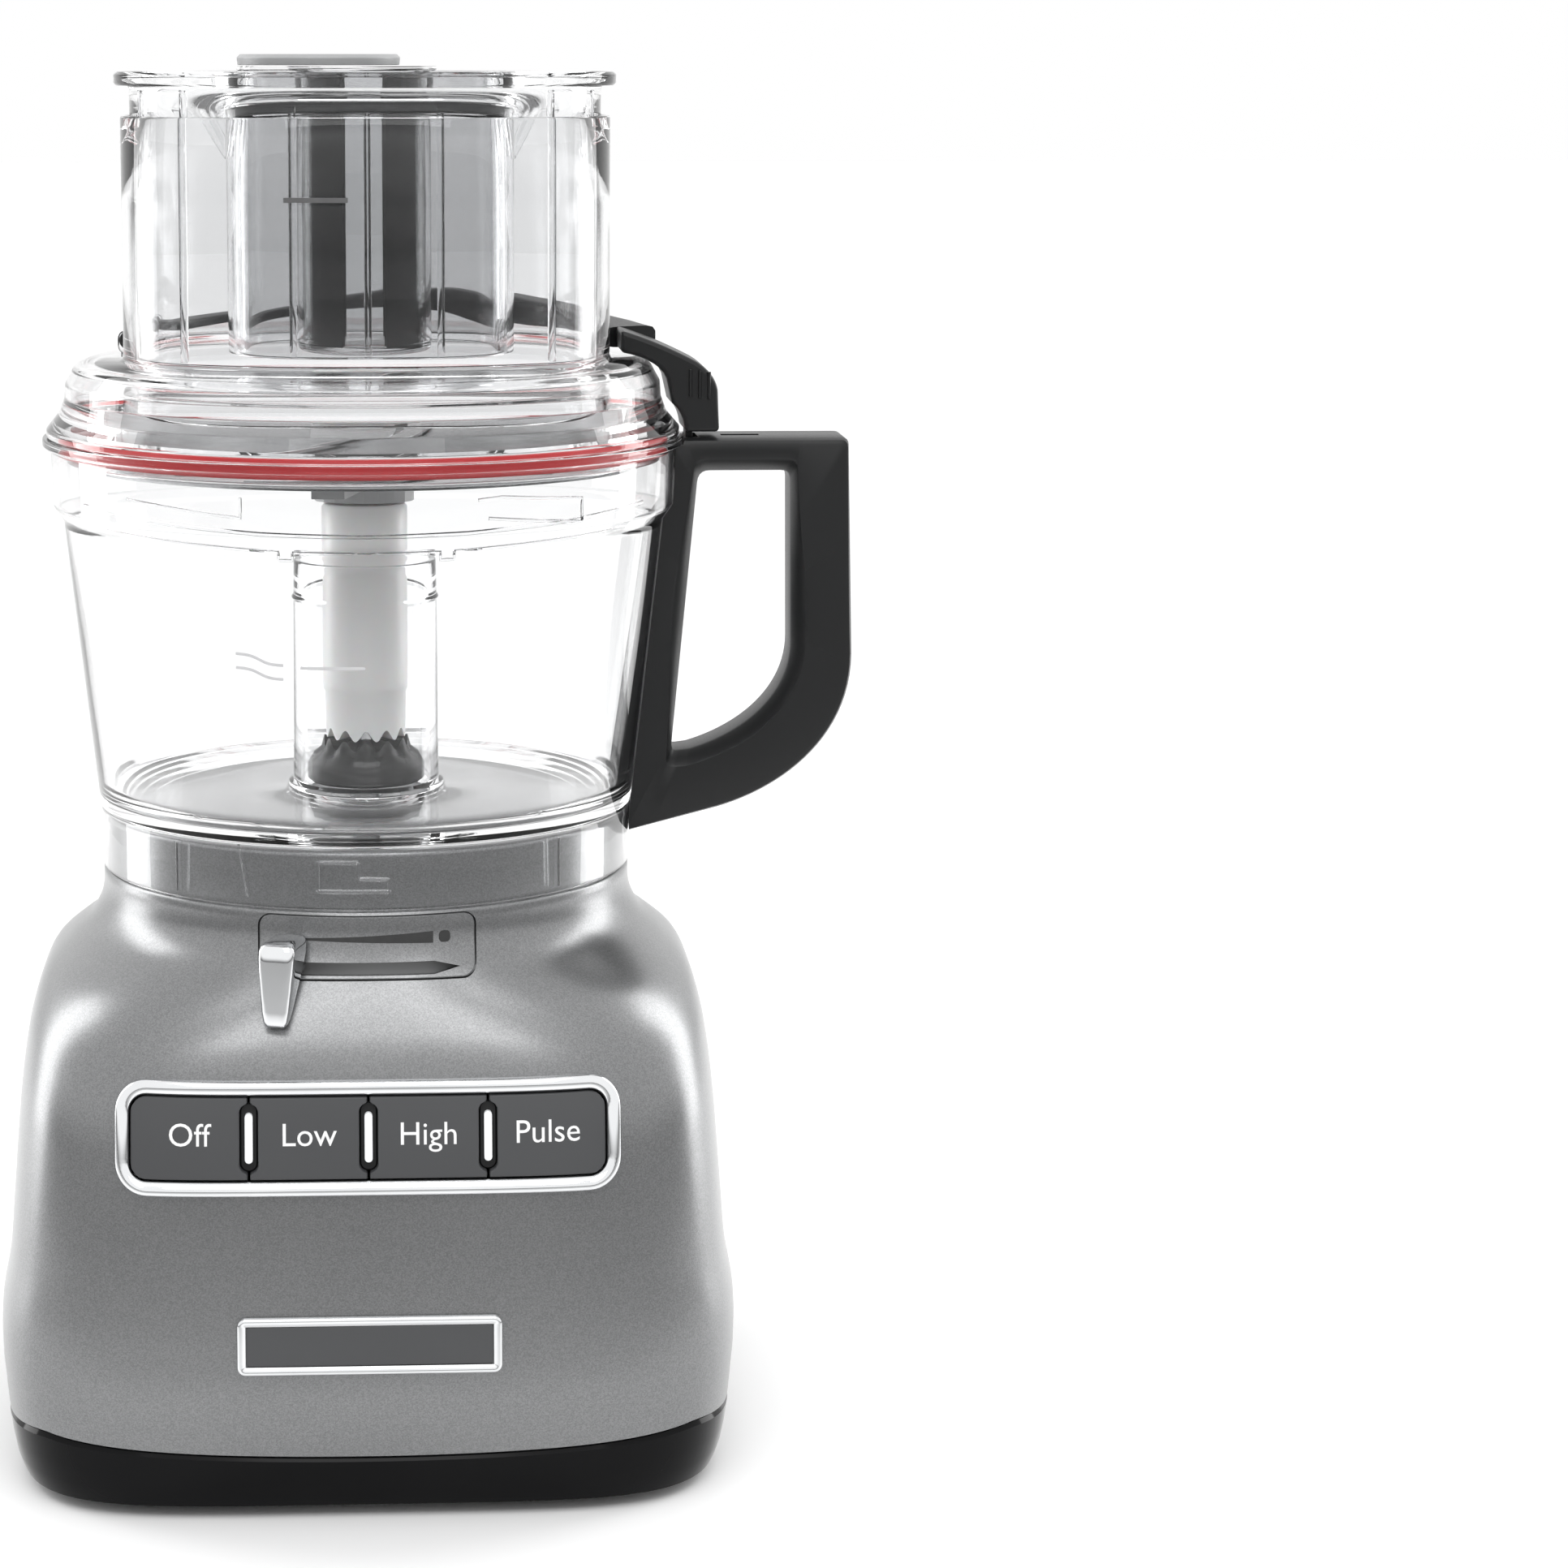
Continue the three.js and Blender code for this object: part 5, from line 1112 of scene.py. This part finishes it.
small_lo, small_hi = reach("pusher_small")
CUP_R = 20.5
CUP_X = 0.5
cup_profile = fillet([
    (0.01, PUSH_FLOOR, 0), (CUP_R, PUSH_FLOOR, 2), (CUP_R, PUSH_TOP + 1, 0.4),
    (CUP_R - 1.4, PUSH_TOP + 1, 0.4), (CUP_R - 1.4, PUSH_FLOOR + 2.5, 1.5), (0.01, PUSH_FLOOR + 2.5, 0),
])
cup_rings = [oval(r, r, 2, z, 128, CUP_X, TUBE_Y) for r, z in cup_profile]
make_piece("small_pusher_cup", loft(cup_rings), LID_CLEAR, "pusher_small_unit",
           ["pusher_small"])
SMOKE = Finish("smoked_plastic", Specular_IOR_Level=0.05)
veil = SMOKE.noise(30.0)
SMOKE.colour(veil, (0.006, 0.0062, 0.0065), (0.011, 0.0112, 0.0115), 0.12, 0.05)
for side, word in ((0, "right"), (math.pi, "left")):
    spread = [side + math.radians(-70 + 140 * k / 32) for k in range(33)]
    outline = []
    for r, turns_over in ((18.9, spread), (17.0, spread[::-1])):
        outline += [(CUP_X + r * math.cos(a), TUBE_Y + r * math.sin(a)) for a in turns_over]
    liner = loft([[(a, b, z) for a, b in outline] for z in (PUSH_FLOOR + 2.6, PUSH_TOP - 4)])
    make_piece(f"smoked_side_{word}", liner, SMOKE, "pusher_small_unit")
plate_x = (small_lo.x + small_hi.x) / 2
plate_half = (small_hi.x - small_lo.x) / 2
plate_rings = [oval(plate_half - inset, 24.8 - inset, 2.4, PUSH_TOP + up, 128, plate_x, TUBE_Y)
               for inset, up in ((0.5, 0.3), (0, 0.6), (0, 1.4), (0.4, 1.7))]
make_piece("small_pusher_plate", loft(plate_rings), LID_CLEAR, "pusher_small_unit")
cap_lo, cap_hi = reach("pusher_small_cap")
CAP_X = (cap_lo.x + cap_hi.x) / 2
CAP_R = (cap_hi.x - cap_lo.x) / 2
cap_profile = fillet([
    (0.01, cap_lo.z, 0), (CAP_R - 0.3, cap_lo.z, 0.3), (CAP_R, cap_lo.z + 2.2, 0.6),
    (CAP_R - 1, cap_hi.z, 0.5), (CAP_R - 3.5, cap_hi.z - 0.2, 0.5), (CAP_R - 4.5, cap_hi.z - 1.2, 1),
    (0.01, cap_hi.z - 1.3, 0),
])
make_piece("small_pusher_cap_disc",
           loft([oval(r, r, 2, z, 128, CAP_X, TUBE_Y) for r, z in cap_profile]), GREY,
           "pusher_small_unit", ["pusher_small_cap"])

# ---- Slicing disc ----
# A steel plate with a rolled edge, a curved raised blade over its slot and two finger holes. It sits on
# a grey carrier on top of the white stem, whose toothed foot drops over the black coupling.

plate_lo, plate_hi = reach("disc_plate")
DISC_Z = plate_lo.z
DISC_TOP = DISC_Z + 1.4
DISC_R = plate_hi.x
disc_profile = fillet([
    (8.4, DISC_Z, 0), (DISC_R - 1.2, DISC_Z, 0.6), (DISC_R, DISC_Z + 0.9, 0.6),
    (DISC_R, DISC_TOP + 1.2, 0.5), (DISC_R - 1.2, DISC_TOP + 1.1, 0.4),
    (DISC_R - 2, DISC_TOP + 0.1, 0.6), (DISC_R - 3.4, DISC_TOP, 0.4), (8.4, DISC_TOP, 0),
])


def strip(start, end):
    """Outline of a curved strip from the hub to the edge of the disc."""
    inside, outside = [], []
    for k in range(25):
        out = 26 + (DISC_R - 33) * k / 24
        sweep = -1.2 - 0.9 * (k / 24) ** 1.3
        spine = Vector((out * math.cos(sweep), out * math.sin(sweep)))
        side = Vector((-math.sin(sweep + 0.5), math.cos(sweep + 0.5)))
        inside.append(spine + side * start)
        outside.append(spine + side * end)
    return inside + outside[::-1]


def slab(outline, low, high):
    return loft([[(p[0], p[1], z) for p in outline] for z in (low, high)])


finger_holes = [slab([(x + 9 * math.cos(math.pi * k / 16), 9 * math.sin(math.pi * k / 16))
                      for k in range(32)],
                     DISC_Z - 2, DISC_TOP + 2) for x in (-50, 50)]
make_piece("disc_sheet", turned(disc_profile, 160), STEEL, "disc_unit", ["disc_plate"],
           [slab(strip(0, 7), DISC_Z - 2, DISC_TOP + 2)] + finger_holes, crease=30)
make_piece("disc_cutter", slab(strip(5.2, 17), DISC_TOP + 0.3, DISC_TOP + 1.5), STEEL, "disc_unit",
           ["disc_blade"], bevel=0.3)

WHITE = Finish("white_plastic", Specular_IOR_Level=0.5, Subsurface_Weight=0.15, Subsurface_Scale=0.004)
milk = WHITE.noise(15.0)
WHITE.colour(milk, (0.86, 0.86, 0.855), (0.91, 0.91, 0.905), 0.3, 0.1)
stem_lo, stem_hi = reach("disc_stem")
STEM_ROWS = [(5.9, -3.4), (12.6, -3.6), (12.8, 11), (13.3, 12), (13.4, 14), (13.4, 46), (12.9, 47),
             (12.9, 52), (13.4, 53), (13.4, stem_hi.z - stem_lo.z - 18),
             (12.6, stem_hi.z - stem_lo.z - 17), (8.2, stem_hi.z - stem_lo.z - 16.5),
             (8, stem_hi.z - stem_lo.z - 4), (5.5, stem_hi.z - stem_lo.z - 4)]
TEETH = 12
TOOTH_RISE = 1.7


def toothed(radius, z, wave):
    """A level ring whose height rises and falls once for each tooth."""
    turns_round = [2 * math.pi * i / 192 for i in range(192)]
    return [(radius * math.cos(a), radius * math.sin(a), z + wave * math.cos(TEETH * a))
            for a in turns_round]


stem_rings = []
for k, (radius, up) in enumerate(STEM_ROWS):
    wave = TOOTH_RISE if k < 2 else 0.0
    stem_rings.append(toothed(radius, stem_lo.z + up + wave, wave))
stem_rings.append(toothed(5.5, stem_lo.z + 6, 0.0))
make_piece("stem_tube", loft(stem_rings, closed=True), WHITE, "disc_unit",
           ["disc_stem"], crease=40)
dress("disc_hub", WHITE, 0.6)
dress("disc_carrier", GREY, 0.8)

# ---- Drive coupling, spindle and drive ----
# Black acetal dog on the steel spindle, with pointed teeth that mesh with the stem. Below the deck are
# the bearings, the belt pulleys and the motor on a steel chassis plate.

dog_lo, dog_hi = reach("drive_coupling")
DOG_R = dog_hi.x
dog_rows = [(5.4, dog_lo.z, 0), (DOG_R - 1, dog_lo.z, 0), (DOG_R, dog_lo.z + 1, 0),
            (DOG_R, dog_hi.z - 11.5, 0), (DOG_R - 1.8, dog_hi.z - 8.6, 0), (14.2, dog_hi.z - 7.2, 0.6),
            (13.2, dog_hi.z - 4.6, 1.6), (12.0, dog_hi.z - 5.0, 1.6), (5.4, dog_hi.z - 4, 0)]
make_piece("coupling_dog", loft([toothed(*row) for row in dog_rows], closed=True), DARK, "drive",
           ["drive_coupling"], crease=40)
for node in ("drive_spindle", "drive_pulley", "motor_pulley", "motor_armature", "lower_bearing",
             "upper_bearing"):
    dress(node, STEEL, 0.2)
dress("chassis_plate", STEEL, 0.4)
for corner in CORNERS:
    dress(f"bottom_screw_{corner}", STEEL)
dress("drive_belt", RUBBER)
dress("interlock_switch", DARK, 0.4)
BOARD = Finish("circuit_board", Roughness=0.45)
tracks = BOARD.add("ShaderNodeTexBrick", None, {
    "Vector": BOARD.place, "Scale": 160.0, "Color1": (0.02, 0.12, 0.05, 1),
    "Color2": (0.03, 0.16, 0.07, 1), "Mortar": (0.05, 0.22, 0.1, 1)})
BOARD.feed("Base Color", tracks)
dress("control_board", BOARD)
dress("power_board", BOARD)
COPPER = Finish("copper_winding", Metallic=0.9)
turns = COPPER.add("ShaderNodeTexWave", {"bands_direction": "Z"},
                   {"Vector": COPPER.place, "Scale": 300.0}).output("Fac")
COPPER.colour(turns, (0.35, 0.16, 0.06), (0.6, 0.3, 0.13), 0.25, 0.2)
dress("motor_stator", COPPER)

# ---- Room: floor, lights and camera ----
# A pale floor under soft lamps: a tall one at each side, one in front and one overhead. The floor's colour
# is a painted pool of light, pale round and behind the machine, with painted shade in front and to the
# sides.
# The sky is bright behind and above, so that clear plastic stays clear.

floor_mesh = bpy.data.meshes.new("floor")
far = 14.0
floor_mesh.from_pydata([(-far, -far, 0), (far, -far, 0), (far, far, 0), (-far, far, 0)], [],
                       [(0, 1, 2, 3)])
floor = bpy.data.objects.new("floor", floor_mesh)
scene.collection.objects.link(floor)
PAINTED_LIGHT_FLOOR = Finish("floor_painted_light_pool", Roughness=0.6)
# Painted light: the floor is pale in a pool round and behind the machine, and painted shade darkens it in
# front and to the sides.
spot = PAINTED_LIGHT_FLOOR.add("ShaderNodeSeparateXYZ", None, {"Vector": PAINTED_LIGHT_FLOOR.place})
aside = PAINTED_LIGHT_FLOOR.add("ShaderNodeMath", {"operation": "ABSOLUTE"}, {0: spot.output("X")})
smooth = {"interpolation_type": "SMOOTHSTEP"}
ahead = PAINTED_LIGHT_FLOOR.add("ShaderNodeMapRange", smooth,
                  {"Value": spot.output("Y"), "From Min": -0.60, "From Max": -0.155})
beside = PAINTED_LIGHT_FLOOR.add("ShaderNodeMapRange", smooth,
                   {"Value": aside - spot.output("Y") * 0.6, "From Min": 1.8, "From Max": 0.5})
PAINTED_LIGHT_FLOOR.feed("Base Color", PAINTED_LIGHT_FLOOR.shade(ahead * beside, (0.38, 0.38, 0.38), (0.93, 0.93, 0.93)))
floor_mesh.materials.append(PAINTED_LIGHT_FLOOR.material)

studio = bpy.data.worlds.new("studio")
studio.use_nodes = True
scene.world = studio
sky = studio.node_tree
sky.nodes.clear()
sky_end = sky.nodes.new("ShaderNodeOutputWorld")
glow = sky.nodes.new("ShaderNodeBackground")
split = sky.nodes.new("ShaderNodeSeparateXYZ")
ways = sky.nodes.new("ShaderNodeTexCoord")
sky.links.new(ways.outputs["Generated"], split.inputs[0])
brightest = sky.nodes.new("ShaderNodeMath")
brightest.operation = "MAXIMUM"
# Bright behind the machine and overhead, dark on the camera's side.
SKY_RAMPS = (("Y", 0.3, 0.7, 0.03, 1.0), ("Z", -0.05, 0.2, 0.0, 1.15))
for slot, (way, start, end, low, high) in enumerate(SKY_RAMPS):
    spread = sky.nodes.new("ShaderNodeMapRange")
    spread.interpolation_type = "SMOOTHSTEP"
    for name, value in zip(("From Min", "From Max", "To Min", "To Max"), (start, end, low, high)):
        spread.inputs[name].default_value = value
    sky.links.new(split.outputs[way], spread.inputs["Value"])
    sky.links.new(spread.outputs["Result"], brightest.inputs[slot])
sky.links.new(brightest.outputs[0], glow.inputs["Color"])
glow.inputs["Strength"].default_value = 1.0
sky.links.new(glow.outputs[0], sky_end.inputs["Surface"])


def softbox(name, place, aim, wide, tall, power):
    lamp = bpy.data.lights.new(name, "AREA")
    lamp.shape = "RECTANGLE"
    lamp.size = wide
    lamp.size_y = tall
    lamp.energy = power
    holder = bpy.data.objects.new(name, lamp)
    holder.location = place
    holder.rotation_euler = (Vector(aim) - Vector(place)).to_track_quat("-Z", "Y").to_euler()
    scene.collection.objects.link(holder)


softbox("left_softbox", (-1.0, 0.45, 0.5), (0, 0, 0.2), 0.4, 1.1, 6)
softbox("right_softbox", (1.0, 0.45, 0.5), (0, 0, 0.2), 0.4, 1.1, 6)
softbox("front_softbox", (0.0, -1.1, 1.15), (0, 0, 0.15), 0.9, 0.3, 3.2)
softbox("top_softbox", (0.0, -0.6, 1.6), (0, 0, 0.2), 1.0, 0.5, 4)

camera_data = bpy.data.cameras.new("camera")
camera_data.sensor_width = 36.0
camera_data.lens = 90.56
camera_data.shift_x = 0.15
camera_data.shift_y = -0.1065
camera_data.clip_start = 0.01
camera_data.clip_end = 60.0
camera = bpy.data.objects.new("camera", camera_data)
camera.location = AXIS + Vector((0.0, -1.2284, 0.4317))
camera.rotation_euler = (math.radians(90 - 8.2), 0.0, math.radians(-2.694))
scene.collection.objects.link(camera)
scene.camera = camera
scene.view_settings.view_transform = "Standard"
scene.cycles.max_bounces = 32
scene.cycles.transmission_bounces = 32
scene.cycles.transparent_max_bounces = 32
scene.cycles.glossy_bounces = 8
scene.cycles.caustics_reflective = False
